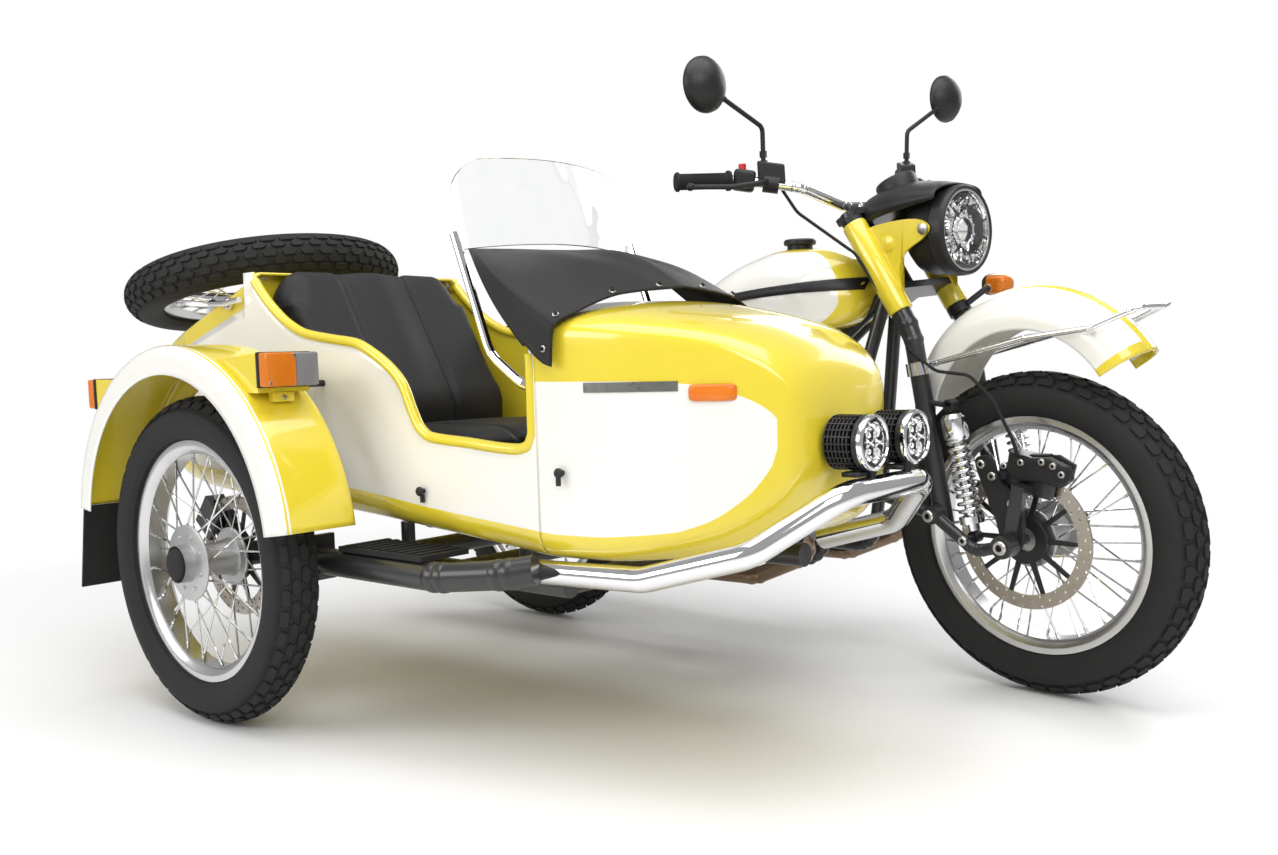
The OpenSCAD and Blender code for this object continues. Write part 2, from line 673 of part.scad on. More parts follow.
// Windscreen: curved sheet between two bent posts
post_y = 253;
post_r = 9;
screen_bow = 60;
screen_half_w = post_y - post_r - 0.5;
screen_r = (screen_half_w * screen_half_w + screen_bow * screen_bow) / (2 * screen_bow);
screen_lean = 14;
screen_foot = [752, 952];
screen_h = 174;
screen_corner = 80;
function screen_arc(a, side) = [side * (screen_half_w - screen_corner + screen_corner * cos(a)),
    screen_h + 1 - screen_corner + screen_corner * sin(a)];
module windshield_frame() {
    color("silver") for (s = [-1, 1])
        swept([[1010, -body_y + s * (296 - wall - post_r - 4), 676],
            [915, -body_y + s * (post_y + 8), 700],
               [830, -body_y + s * post_y, 752], [743, -body_y + s * post_y, 982]], post_r, 60);
}
module windshield() {
    color("lightcyan", 0.4) translate([screen_foot[0], -body_y, screen_foot[1]])
        rotate([0, -screen_lean, 0]) intersection() {
        translate([screen_bow - screen_r, 0, 0]) rotate([0, 0, -40])
            rotate_extrude(angle = 80, $fn = 96) translate([screen_r - 5, 0]) square([5, screen_h]);
        rotate([90, 0, 90]) translate([0, 0, -100]) linear_extrude(300) polygon(concat(
            [[-screen_half_w, -1], [screen_half_w, -1]],
            [for (i = [0 : 7]) screen_arc(90 * i / 7, 1)],
                [for (i = [7 : -1 : 0]) screen_arc(90 * i / 7, -1)]));
    }
}

// Weather apron from the foot of the windscreen to the hood, its tips drawn down outside the hood
// Columns: place across the half width, foot of the screen, lower edge: x, y, z
apron_cols = [[-1, 700, 303, 700], [-0.96, 752, 299, 792], [-0.8, 768, 262, 816], [-0.5, 792, 160, 849],
    [0, 806, 0, 863],
    [0.5, 792, 160, 849], [0.8, 768, 262, 816], [0.96, 752, 299, 792], [1, 700, 303, 700]];
apron_rows = 5;
module apron() {
    function tip(c) = max(0, abs(c[0]) - 0.8) / 0.2;
    color("black") sheet([for (i = [0 : apron_rows]) [for (c = apron_cols)
        let(t = i / apron_rows, side = sign(c[0]),
            top = [766 + screen_bow * (1 - c[0] * c[0]), -body_y + c[0] * (screen_half_w - 4), 944],
            low = [1040 + 50 * (1 - c[0] * c[0]), -body_y + side * (c[2] + 5 * tip(c)), c[3]])
        top + (low - top) * t + sin(180 * t) * [0, 20 * side * tip(c), 26 * (1 - c[0] * c[0])]]],
        [for (c = apron_cols) [-3, -5 * tip(c) * sign(c[0]), 4 * tip(c) - 4]]);
}

// Step: a bent bar outside the body with a ribbed mat behind it
// Course of the nose bumper, from the right to the left
bumper_z = chassis_z + 26;
bumper_front_z = 515;
bumper_line = [[930, outer_y - 36, bumper_z], [1200, outer_y - 28, bumper_z + 8],
    [1390, -body_y - 235, 424], [1500, -body_y - 130, bumper_front_z],
    [1500, -body_y + 130, bumper_front_z], [1390, -body_y + 235, 424],
    [1215, -body_y + 262, bumper_z + 10]];
step_z = 352;
step_r = 27;
module step_bar() {
    color("black") difference() {
        tube([[cross_rear + plate_t / 2 + seat_gap, -1084, step_z], [800, -1084, step_z],
            [940, -1052, 366], [992, -1026, 376]], step_r, 90);
        rod(bumper_line[0] - 0.5 * (bumper_line[1] - bumper_line[0]), bumper_line[1],
            bumper_r + seat_gap);
    }
}
mat_z = step_z + step_r + 0.4;
module step_mat() {
    color("dimgray") {
        translate([520, -1100, mat_z]) cube([250, 116, 10]);
        for (i = [0 : 8]) translate([534 + i * 26, -1094, mat_z + 9.9]) cube([12, 104, 3]);
    }
}

// Nose bumper: one tube round the nose, from the chassis's outer tube
module bumper() {
    color("silver") tube(bumper_line, bumper_r, 70);
}

// Two driving lamps on posts over the bumper
lamp_r = 46;
lamp_y = -body_y + 12;
lamp_z = 592;
module fog_lamps() {
    color("black") for (s = [-1, 1]) translate([0, lamp_y + s * 71, 0]) {
        translate([1440, 0, lamp_z]) rotate([0, 90, 0]) cylinder(h = 75, r = lamp_r);
        translate([1500, -s * 12, bumper_front_z + bumper_r + seat_gap]) cylinder(h = 40, r = 8);
    }
}

guard_r = 408;
guard_half_w = 88;
guard_centre = [sidecar_lead - 4, -track, tyre_r + 41];
module sidecar_fender() {
    color("gold") {
        guard(guard_centre, guard_r, guard_half_w, 60, 22, 7, 172);
        for (a = [58, 120]) {
            stay = guard_centre + [cos(a) * (guard_r - 30), guard_half_w - 1.5, sin(a) * (guard_r - 30)];
            rod(stay, [stay[0], -body_y - at_x(tub_table, stay[0], 1) - 0.4, stay[2]], 7);
        }
    }
}

// Lamps: boxes on wedge brackets at the guard's front and back, and a marker on the nose
guard_lamp_y = [-track - 58, -track + 61];
guard_lamp_d = 36;
guard_lamp_h = 68;
front_lamp_at = [472, 703];
rear_lamp_at = [-177, 659];
marker_x = 1303;
module guard_lamp(reach) {
    wide = guard_lamp_y[1] - guard_lamp_y[0];
    translate([0, guard_lamp_y[0], 0]) cube([guard_lamp_d, wide, guard_lamp_h]);
    translate([-reach, guard_lamp_y[0] + 3, -9]) cube([reach + 1, wide - 6, guard_lamp_h + 6]);
}
module sidecar_lamps() {
    color("orange") {
        difference() {
            union() {
                translate([front_lamp_at[0], 0, front_lamp_at[1]]) guard_lamp(140);
                translate([rear_lamp_at[0], 0, rear_lamp_at[1]]) mirror([1, 0, 0]) guard_lamp(118);
            }
            translate(guard_centre) rotate([90, 0, 0])
                cylinder(h = 4 * guard_half_w, r = guard_r + seat_gap, center = true);
        }
        translate([marker_x, -body_y - at_x(nose_table, marker_x, 1) - 0.5, 672]) rotate([0, 0, 24.5])
            rotate([90, 0, 0])
            cylinder(h = 14, r = 18);
    }
}

module mud_flap() {
    color("black") translate([0, -track + 75, 0]) rotate([90, 0, 0]) linear_extrude(150)
        polygon([[-232, 441], [-226, 440], [-262, 252], [-268, 252]]);
}

// Hinge at the back of the boot: a pin held by two ears
hinge_x = -404;
hinge_z = 745;
hinge_pin_r = 5;
ear_y = 34;
ear_t = 12;
module lid_hinge() {
    color("gray") {
        rod([hinge_x, -body_y - ear_y - ear_t, hinge_z], [hinge_x, -body_y + ear_y + ear_t, hinge_z],
            hinge_pin_r);
        for (s = [-1, 1]) translate([hinge_x, -body_y + s * (ear_y + ear_t / 2), 0]) {
            translate([0, 0, hinge_z]) rotate([90, 0, 0]) cylinder(h = ear_t, r = 8, center = true);
            translate([-8, -ear_t / 2, 660]) cube([12, ear_t, hinge_z - 660]);
        }
        translate([hinge_x - 8, -body_y - ear_y - ear_t, 650])
            cube([-385 - hinge_x + 8 - seat_gap, 2 * (ear_y + ear_t), 40]);
    }
}

module boot_lid() {
    color("gold") difference() {
        loft([for (t = lid_top) outline(t[0], -body_y, at_x(tub_table, t[0], 1), lid_seam(t[0]) + 1, t[1],
            1, 12, 4)]);
        loft([for (t = lid_top) let(x = max(-385 + lid_wall, min(84 - lid_wall, t[0])))
            outline(x, -body_y, at_x(tub_table, x, 1) - lid_wall, lid_seam(x) - 20,
                at_x(lid_top, x, 1) - lid_wall, 1, 8, 4)]);
    }
}

spare_tilt = 11;
spare_centre = [-284, -body_y, 951];
module at_spare() { translate(spare_centre) rotate([0, -spare_tilt, 0]) rotate([-90, 0, 0]) children(); }
// Carrier: strap from the hinge over the lid, post and spigot for the spare wheel's hub
strap_t = 14;
module spare_carrier() {
    axis = [-sin(spare_tilt), 0, cos(spare_tilt)];
    color("black") {
        difference() {
            union() {
                translate([hinge_x, -body_y, hinge_z]) rotate([90, 0, 0])
                    cylinder(h = 2 * ear_y - 2, r = 10, center = true);
                translate([0, -body_y + ear_y - 4, 0]) rotate([90, 0, 0]) linear_extrude(2 * ear_y - 8)
                    polygon(concat([[hinge_x + 4, hinge_z + 4], [-388, lid_top[0][1] + 2]],
                        [for (i = [1 : 3]) lid_top[i] + [-0.3, 0.6]],
                        [for (i = [3 : -1 : 1]) lid_top[i] + [-3, strap_t]],
                            [[hinge_x - 6, hinge_z + 4]]));
            }
            rod([hinge_x, -body_y - 60, hinge_z], [hinge_x, -body_y + 60, hinge_z],
                hinge_pin_r + run_gap);
        }
        rod(spare_centre - axis * 116, spare_centre - axis * (hub_half_w + seat_gap), 22);
        rod(spare_centre - axis * 100, spare_centre + axis * (hub_half_w + 16), axle_r);
        rod(spare_centre + axis * (hub_half_w + seat_gap), spare_centre + axis * (hub_half_w + 16), 24);
    }
}

// Front fork: straight legs on two yokes, then bent to near upright down to the leading arms

// Along the steering axis at s above its reference point: x is forward of the axis
module on_axis(s) {
    translate([head_x, 0, head_z]) rotate([0, -rake, 0]) translate([0, 0, s]) children();
}
function axis_point(f, y, s) = [head_x + f * cos(rake) - s * sin(rake), y,
    head_z + f * sin(rake) + s * cos(rake)];

leg_f = 38;
yoke_t = 16;
yoke_top_s = 44;
yoke_low_s = -152;
leg_end = [1304, leg_y, 372];
arm_pivot = [1302, 0, 396];
arm_pivot_r = 8;
arm_y_front = 140;
arm_r = 13;
shock_pin = [1383, 112, 350];
shock_head = [1338, 112, 628];
eye_r = 13;
module yoke(s, half_w) {
    on_axis(s) {
        translate([-20, -26, 0]) cube([50, 52, yoke_t]);
        translate([10, -half_w, 0]) cube([leg_f + 14, 2 * half_w, yoke_t]);
    }
}
module fork() {
    color("black") difference() {
        union() {
            both_sides() {
                tube([axis_point(leg_f, leg_y, yoke_top_s + yoke_t - 1), axis_point(leg_f, leg_y, -246),
                    leg_end], leg_r, 96);
                rod([1264, leg_y, 634], [shock_head[0] - eye_r - 1.4, shock_head[1], shock_head[2]], 6);
            }
            on_axis(yoke_low_s) cylinder(h = yoke_top_s - yoke_low_s + 8, r = stem_r);
            yoke(yoke_top_s, leg_y + 14);
            yoke(yoke_low_s, leg_y - 4);
        }
        rod(arm_pivot - [0, 200, 0], arm_pivot + [0, 200, 0], arm_pivot_r + run_gap);
    }
}

// Tubular covers on the upper legs, with the ears that carry the headlamp
cover_r = 27;
cover_top_s = 30;
cover_low_s = -196;
ear_x = 1285;
// Gusset from the cover to the lamp, side view: x, z
ear_edge = [[1130, 985], [1150, 1012], [1213, 1021], [1272, 1019], [1292, 1010], [1298, 1000],
    [1280, 978], [1240, 955], [1224, 928], [1222, 892], [1228, 850], [1208, 838]];
module fork_covers() {
    color("gold") both_sides() difference() {
        union() {
            rod(axis_point(leg_f, leg_y, cover_low_s), axis_point(leg_f, leg_y, cover_top_s), cover_r);
            translate([0, 101, 0]) rotate([90, 0, 0]) linear_extrude(6) polygon(ear_edge);
            rod([ear_x, 90.5, lamp_z0 + 9], [ear_x, 108, lamp_z0 + 9], 9);
        }
        rod(axis_point(leg_f, leg_y, -280), axis_point(leg_f, leg_y, 80), leg_r + seat_gap);
        on_axis(yoke_low_s - seat_gap) translate([-20, -10, 0])
            cube([90, leg_y + 6 + seat_gap, yoke_t + 2 * seat_gap]);
    }
}

// Leading arms joined by a loop behind the tyre, with the pivots, the spindle and the brake caliper
module leading_arms() {
    far_y = arm_y_front + arm_r + 1;
    cal_y = front_disc_y;
    color("black") {
        both_sides() {
            tube([[arm_pivot[0], arm_y_front, arm_pivot[2]], [1400, arm_y_front, 326],
                [wheelbase, arm_y_front, tyre_r]], arm_r, 40);
            rod([arm_pivot[0], leg_y - leg_r, arm_pivot[2]], [arm_pivot[0], far_y, arm_pivot[2]],
                arm_pivot_r);
            rod([arm_pivot[0], leg_y + leg_r + 2, arm_pivot[2]], [arm_pivot[0], far_y, arm_pivot[2]], 20);
            rod([wheelbase, arm_y_front - 14, tyre_r], [wheelbase, far_y + 4, tyre_r], 24);
            rod([shock_pin[0], 98, shock_pin[2]], [shock_pin[0], arm_y_front, shock_pin[2]], 7);
        }
        tube([[arm_pivot[0], arm_y_front, arm_pivot[2]], [1110, 116, 434], [1110, -116, 434],
            [arm_pivot[0], -arm_y_front, arm_pivot[2]]], arm_r, 50);
        rod([wheelbase, -far_y, tyre_r], [wheelbase, far_y, tyre_r], axle_r);
        difference() {
            on_ring([wheelbase, 0, tyre_r], 78, 104) translate([0, cal_y - 24, -52]) cube([76, 46, 104]);
            on_ring([wheelbase, 0, tyre_r], 78, 0)
                translate([0, cal_y - disc_w / 2 - caliper_gap, -160])
                    cube([148 + caliper_gap, disc_w + 2 * caliper_gap, 320]);
        }
        on_ring([wheelbase, 0, tyre_r], 78, 16) translate([0, -arm_y_front + 11, -14])
            cube([110, 15, 28]);
        on_ring([wheelbase, 0, tyre_r], 78, 106) translate([0, -arm_y_front + 14, -14])
            cube([20, arm_y_front - 14 + cal_y - 20, 28]);
    }
}
module front_shocks() {
    color("silver") both_sides() difference() {
        union() {
            damper(shock_pin, shock_head, 26, 9);
            rod(shock_pin - [0, 12, 0], shock_pin + [0, 12, 0], eye_r);
            rod(shock_head - [0, 12, 0], shock_head + [0, 12, 0], eye_r);
        }
        rod(shock_pin - [0, 60, 0], shock_pin + [0, 60, 0], 7 + run_gap);
    }
}
front_guard = [wheelbase + 4, 0, 574];
front_guard_r = 284;
module front_fender() {
    color("gold") guard(front_guard, front_guard_r, 75, 80, 60, 32, 172);
}

// Chrome rail along the guard, clamped to the fork legs
rail_low = [1304, 102, 716];
module fender_rail() {
    leg_mid = at_z(leg_end, [1246, leg_y, 784], 704);
    leg_dir = unit([1246, leg_y, 784] - leg_end);
    color("silver") difference() {
        union() {
            tube([leg_mid + [10, 0, 4], rail_low, [1503, 96, 763], [1640, 90, 778], [1722, 62, 812],
                [1734, 0, 809],
                  [1722, -62, 812], [1640, -90, 778], [1503, -96, 763], right(rail_low),
                      right(leg_mid + [10, 0, 4])], 6, 30);
            both_sides() {
                rod(leg_mid - leg_dir * 14, leg_mid + leg_dir * 14, leg_r + 6);
                rod([1634, 91, 777], [1634, 69.4, 770], 5);
            }
        }
        both_sides() rod(leg_mid - leg_dir * 60, leg_mid + leg_dir * 60, leg_r + 0.5);
    }
}

// Headlamp bucket, its glass, and the instrument cowl over it
lamp_x = 1314;
lamp_z0 = 989;
bucket_r = 92;
module headlamp() {
    color("black") translate([lamp_x, 0, lamp_z0]) rotate([0, -90, 0]) rotate_extrude()
        polygon([[0, 8], [bucket_r - 6, 8], [bucket_r - 6, 0], [bucket_r, 0], [bucket_r, 14], [60, 104],
            [0, 104]]);
}
module headlamp_glass() {
    color("lightcyan") translate([lamp_x, 0, lamp_z0]) rotate([0, 90, 0]) translate([0, 0, -8 + seat_gap])
        rotate_extrude()
        polygon([[0, 0], [bucket_r - 6 - seat_gap, 0], [bucket_r - 6 - seat_gap, 12], [60, 20], [0, 23]]);
}
module instrument_cowl() {
    color("black") difference() {
        union() {
            translate([1128, -62, 1084]) cube([158, 124, 22]);
            translate([1170, 0, 1105]) cylinder(h = 12, r = 46);
            rod([1088, 0, 1056], [1140, 0, 1092], 9);
            rod([1270, 0, lamp_z0 + 85], [1270, 0, 1086], 9);
        }
        rod([1074, -30, 1066], [1074, 30, 1066], bar_r + seat_gap);
        on_axis(yoke_top_s - 4) translate([-60, -20, 0]) cube([120, 40, yoke_t + 4 + seat_gap]);
    }
}

bar_r = 11;
bar_bend = [1048, 210, 1112];
bar_knee = [960, 290, 1138];
bar_end = [887, bar_half_w, 1144];
module handlebar() {
    color("silver") {
        tube([right(bar_end), right(bar_knee), right(bar_bend), [1074, -90, 1066], [1074, 90, 1066],
            bar_bend, bar_knee, bar_end], bar_r, 40);
        both_sides() rod(axis_point(28, 46, yoke_top_s + yoke_t + seat_gap),
            axis_point(28, 46, yoke_top_s + yoke_t + 26), 14);
    }
}

// Grips, lever perches, levers and the brake fluid cup
grip_r = 17;
perch_r = 20;
module hand_controls() {
    color("black") {
        both_sides() {
            difference() {
                union() {
                    rod(bar_knee + (bar_end - bar_knee) * 0.2, bar_end + unit(bar_end - bar_knee) * 4,
                        grip_r);
                    rod(bar_bend + (bar_knee - bar_bend) * 0.36, bar_bend + (bar_knee - bar_bend) * 0.62,
                        perch_r);
                    translate([995, 252, 1127.5]) cube([40, 52, 63], center = true);
                    tube([[1004, 256, 1136], [1006, 300, 1134], [952, 424, 1140]], 6, 20);
                }
                rod(bar_bend, bar_knee, bar_r + seat_gap);
                rod(bar_knee, bar_end, bar_r + seat_gap);
            }
        }
    }
}

// Round mirrors on bent stalks
mirror_at = [1004, 430, 1329];
mirror_r = 57;
module mirrors() {
    color("black") both_sides() {
        tube([[994, 260, 1159 + 2 * seat_gap], [1000, 262, 1246], mirror_at - [0, 40, 20]], 5, 20);
        translate(mirror_at) rotate([0, 90, 0]) rotate_extrude()
            polygon([[0, -11], [mirror_r, -11], [mirror_r, 0], [26, 18], [0, 18]]);
    }
}

// Turn signal on an arm clamped to the left leg; the sidecar's lamps signal to the right
signal_at = [1289, 170, 866];
signal_r = 28;
signal_d = 60;
module front_indicators() {
    ring_s = cover_low_s - 12.5;
    color("orange") difference() {
        union() {
            rod(axis_point(leg_f, leg_y, ring_s - 10), axis_point(leg_f, leg_y, ring_s + 10), cover_r);
            tube([axis_point(leg_f + 24, leg_y, ring_s), signal_at - [13, 36, 9], signal_at - [6, 0, 0]],
                6, 20);
            translate(signal_at - [signal_d / 2, 0, 0]) rotate([0, 90, 0])
                cylinder(h = signal_d, r = signal_r);
        }
        rod(axis_point(leg_f, leg_y, -280), axis_point(leg_f, leg_y, 80), leg_r + seat_gap);
    }
}

// Front and sidecar wheels with their brake discs; the rear wheel and the spare have none
module front_rim() { wheel(hub_half_w, 148, 118, front_disc_y); }
module sidecar_rim() { wheel(hub_half_w, 128, 100, sidecar_disc_y); }

module place() { translate([-mid_x, -mid_y, 0]) children(); }

place() frame();
place() engine();
place() cylinders();
place() exhaust();
place() fuel_tank();
place() tank_fittings();
place() saddle();
place() rear_fender();
place() tail_lamp();
place() swingarm();
place() rear_shocks();
place() air_box();
place() foot_controls();
place() sidecar_frame();
place() sidecar_suspension();
place() sidecar_tub();
place() sidecar_nose();
place() seat_cushion();
place() seat_back();
place() windshield();
place() windshield_frame();
place() apron();
place() step_bar();
place() step_mat();
place() bumper();
place() fog_lamps();
place() sidecar_fender();
place() sidecar_lamps();
place() mud_flap();
place() lid_hinge();
place() boot_lid();
place() spare_carrier();
place() at_spare() tyre();  // spare_tyre
place() at_spare() wheel(hub_half_w, 0, 0, 0);  // spare_rim
place() turned() fork();
place() turned() fork_covers();
place() turned() leading_arms();
place() turned() front_shocks();
place() turned() front_fender();
place() turned() fender_rail();
place() turned() headlamp();
place() turned() headlamp_glass();
place() turned() instrument_cowl();
place() turned() handlebar();
place() turned() hand_controls();
place() turned() mirrors();
place() turned() front_indicators();
place() turned() at_front() tyre();  // front_tyre
place() turned() at_front() front_rim();
place() translate(rear_axle) tyre();  // rear_tyre
place() translate(rear_axle) wheel(hub_half_w, 0, 0, 0);  // rear_rim
place() translate(sidecar_axle) tyre();  // sidecar_tyre
place() translate(sidecar_axle) sidecar_rim();
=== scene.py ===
import math
import bpy
import bmesh
from mathutils import Matrix, Vector


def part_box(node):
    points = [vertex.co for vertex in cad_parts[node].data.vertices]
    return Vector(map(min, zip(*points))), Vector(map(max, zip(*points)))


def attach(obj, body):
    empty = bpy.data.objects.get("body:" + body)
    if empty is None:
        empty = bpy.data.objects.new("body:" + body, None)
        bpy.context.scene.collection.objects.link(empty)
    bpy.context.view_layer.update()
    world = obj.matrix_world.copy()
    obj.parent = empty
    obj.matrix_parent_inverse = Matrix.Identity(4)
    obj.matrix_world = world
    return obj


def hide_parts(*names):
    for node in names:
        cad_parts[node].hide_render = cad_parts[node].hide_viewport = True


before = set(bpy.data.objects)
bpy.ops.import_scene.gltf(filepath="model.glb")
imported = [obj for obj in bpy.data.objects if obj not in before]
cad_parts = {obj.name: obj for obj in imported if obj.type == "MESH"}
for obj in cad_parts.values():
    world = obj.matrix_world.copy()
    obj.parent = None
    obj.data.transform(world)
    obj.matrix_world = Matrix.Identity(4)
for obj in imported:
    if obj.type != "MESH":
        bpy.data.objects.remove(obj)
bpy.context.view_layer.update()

# Viewpoint. A person standing ahead of the sidecar, about 3.5 m away and looking back along it.
# Places are given in millimetres from the rear tyre's footprint; spot() takes them into the frame.
rear_low, rear_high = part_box("rear_rim")
rear_x = (rear_low[0] + rear_high[0]) / 2
rear_y = (rear_low[1] + rear_high[1]) / 2


def spot(x, y, z):
    return Vector((rear_x + x / 1000, rear_y + y / 1000, z / 1000))


def stood(name, data):
    """Object that holds a camera, lamp or mesh, put in the scene."""
    made = bpy.data.objects.new(name, data)
    bpy.context.scene.collection.objects.link(made)
    return made


frame_px, focal_px, shift_px = 1278, 1229.70, (30.06, 29.23)
eye = bpy.data.cameras.new("eye")
eye_stand = stood("eye", eye)
eye_yaw, eye_pitch, eye_roll = 2.300362, math.radians(-4.696), math.radians(-1.751)
ahead = Vector((math.cos(eye_pitch) * math.cos(eye_yaw), math.cos(eye_pitch) * math.sin(eye_yaw),
                math.sin(eye_pitch)))
level = ahead.cross(Vector((0, 0, 1))).normalized()
upward = level.cross(ahead)
aside = level * math.cos(eye_roll) + upward * math.sin(eye_roll)
above = upward * math.cos(eye_roll) - level * math.sin(eye_roll)
eye_stand.matrix_world = (Matrix.Translation(spot(2505.2, -2519.5, 744.2))
                          @ Matrix((aside, above, -ahead)).transposed().to_4x4())
eye.sensor_width = 36
eye.lens = 36 * focal_px / frame_px
eye.shift_x, eye.shift_y = (px / frame_px for px in shift_px)
eye.clip_end = 60
bpy.context.scene.camera = eye_stand
bpy.context.scene.view_settings.view_transform = "Standard"

# Floor and light. A seamless pale sweep under four big soft panels, as in a product studio.
# The floor fades to white for the eye away from the machine, and keeps the machine's shadow.
def new_mesh(name, verts, faces, mat=None):
    mesh = bpy.data.meshes.new(name)
    mesh.from_pydata([tuple(v) for v in verts], [], faces)
    mesh.validate()
    mesh.update()
    if mat:
        mesh.materials.append(mat)
    return stood(name, mesh)


def node_on(owner, kind, operation=None, **sockets):
    """Shader node with its sockets set; an underscore stands for a space."""
    made = owner.node_tree.nodes.new("ShaderNode" + kind)
    if operation:
        made.operation = operation
    for key, value in sockets.items():
        made.inputs[key.replace("_", " ")].default_value = value
    return made


def wired(owner, *pairs):
    for start, end in pairs:
        owner.node_tree.links.new(start, end)


sweep = bpy.data.materials.new("studio_floor")
sweep.use_nodes = True
sweep_shade = sweep.node_tree.nodes["Principled BSDF"]
sweep_shade.inputs["Base Color"].default_value = (0.86, 0.86, 0.86, 1)
sweep_shade.inputs["Roughness"].default_value = 0.55
sweep_grain = node_on(sweep, "TexNoise", Scale=6.0, Detail=4.0)
sweep_bump = node_on(sweep, "Bump", Strength=0.02, Distance=0.002)
sweep_path = node_on(sweep, "LightPath")
sweep_where = node_on(sweep, "NewGeometry")
sweep_reach = node_on(sweep, "VectorMath", "LENGTH")
sweep_far = node_on(sweep, "MapRange", From_Min=1.3, From_Max=3.0)
sweep_fade = node_on(sweep, "Math", "MULTIPLY")
sweep_glow = node_on(sweep, "Emission", Color=(1, 1, 1, 1), Strength=1.0)
sweep_mix = node_on(sweep, "MixShader")
wired(sweep, (sweep_grain.outputs["Fac"], sweep_bump.inputs["Height"]),
      (sweep_bump.outputs["Normal"], sweep_shade.inputs["Normal"]),
      (sweep_where.outputs["Position"], sweep_reach.inputs[0]),
      (sweep_reach.outputs["Value"], sweep_far.inputs["Value"]),
      (sweep_far.outputs["Result"], sweep_fade.inputs[0]),
      (sweep_path.outputs["Is Camera Ray"], sweep_fade.inputs[1]),
      (sweep_fade.outputs["Value"], sweep_mix.inputs[0]),
      (sweep_shade.outputs["BSDF"], sweep_mix.inputs[1]),
      (sweep_glow.outputs["Emission"], sweep_mix.inputs[2]),
      (sweep_mix.outputs["Shader"], sweep.node_tree.nodes["Material Output"].inputs["Surface"]))
floor = new_mesh("studio_floor", [(-30, -30, 0), (30, -30, 0), (30, 30, 0), (-30, 30, 0)], [(0, 1, 2, 3)], sweep)

sky = bpy.data.worlds.new("studio")
sky.use_nodes = True
bpy.context.scene.world = sky
sky_light = sky.node_tree.nodes["Background"]
sky_light.inputs["Color"].default_value = (1, 1, 1, 1)
sky_path = node_on(sky, "LightPath")
sky_any = node_on(sky, "Math", "MAXIMUM")
sky_mix = node_on(sky, "MapRange", To_Min=0.42, To_Max=1.0)
wired(sky, (sky_path.outputs["Is Camera Ray"], sky_any.inputs[0]),
      (sky_path.outputs["Is Transmission Ray"], sky_any.inputs[1]),
      (sky_any.outputs["Value"], sky_mix.inputs["Value"]),
      (sky_mix.outputs["Result"], sky_light.inputs["Strength"]))
for word, place, target, width, height, watts in (
        ("top", (0.6, -0.6, 4.2), (0, 0, 0.4), 5.0, 3.2, 150),
        ("key", (3.2, -2.2, 2.8), (0.2, 0, 0.5), 2.4, 2.0, 70),
        ("side", (-1.6, -4.2, 2.2), (0, -0.2, 0.5), 3.2, 1.8, 75),
        ("back", (0.0, 4.2, 2.6), (0, 0, 0.6), 4.0, 2.0, 70)):
    lamp = bpy.data.lights.new("panel_" + word, "AREA")
    lamp.shape = "RECTANGLE"
    lamp.size, lamp.size_y, lamp.energy = width, height, watts
    stand = stood("panel_" + word, lamp)
    stand.location = place
    stand.rotation_euler = (Vector(target) - Vector(place)).to_track_quat("-Z", "Y").to_euler()

# Motorcycle frame and running gear. Welded steel tube in black powder coat with a faint orange peel.
# The solids carry the shape; the finish comes from fine noise in gloss, colour and height.
def finish(name, colour, rough, metal=0.0, coat=0.0, mottle=0.05, patch=9.0, swing=0.06,
           peel=0.0, peel_size=260.0, shine=0.5):
    """Material whose colour and gloss drift in soft patches; peel adds a fine skin texture."""
    mat = bpy.data.materials.new(name)
    mat.use_nodes = True
    shade = mat.node_tree.nodes["Principled BSDF"]
    for socket, value in (("Metallic", metal), ("Coat Weight", coat), ("Coat Roughness", 0.06),
                          ("Specular IOR Level", shine)):
        shade.inputs[socket].default_value = value
    where = node_on(mat, "TexCoord").outputs["Object"]
    cloud = node_on(mat, "TexNoise", Scale=patch, Detail=6.0, Roughness=0.6)
    tone = node_on(mat, "Mix")
    tone.data_type = "RGBA"
    for socket, by in ((6, 1 - mottle), (7, 1 + mottle)):
        tone.inputs[socket].default_value = (*[min(1.0, max(0.0, c * by)) for c in colour], 1)
    gloss = node_on(mat, "MapRange", To_Min=max(0.02, rough - swing), To_Max=min(1.0, rough + swing))
    wired(mat, (where, cloud.inputs["Vector"]), (cloud.outputs["Fac"], tone.inputs[0]),
          (tone.outputs[2], shade.inputs["Base Color"]), (cloud.outputs["Fac"], gloss.inputs["Value"]),
          (gloss.outputs["Result"], shade.inputs["Roughness"]))
    if peel:
        fine = node_on(mat, "TexNoise", Scale=peel_size, Detail=3.0)
        bump = node_on(mat, "Bump", Strength=peel, Distance=0.001)
        wired(mat, (where, fine.inputs["Vector"]), (fine.outputs["Fac"], bump.inputs["Height"]),
              (bump.outputs["Normal"], shade.inputs["Normal"]))
    return mat


def dress(mat, *nodes):
    """Finish for solids that are shown as they are."""
    for name in nodes:
        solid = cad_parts[name]
        solid.data.materials.clear()
        solid.data.materials.append(mat)


black_paint = finish("black_powder_coat", (0.018, 0.018, 0.02), 0.34, coat=0.3, mottle=0.3, peel=0.12, peel_size=420)
dress(black_paint, "frame", "swingarm", "foot_controls")

# Engine and gearbox. Sand-cast aluminium cases, bead blasted, with machined cylinder fins.
# The colour goes dull where oil mist and road dust settle; the air box is satin black plastic.
cast_alloy = finish("cast_alloy", (0.42, 0.42, 0.41), 0.48, metal=0.85, mottle=0.22, patch=24, swing=0.14,
                    peel=0.35, peel_size=700)
dress(cast_alloy, "engine", "cylinders")
satin_black = finish("satin_black_plastic", (0.016, 0.016, 0.018), 0.4, mottle=0.25, peel=0.2, peel_size=900,
                     shine=0.35)
dress(satin_black, "air_box")

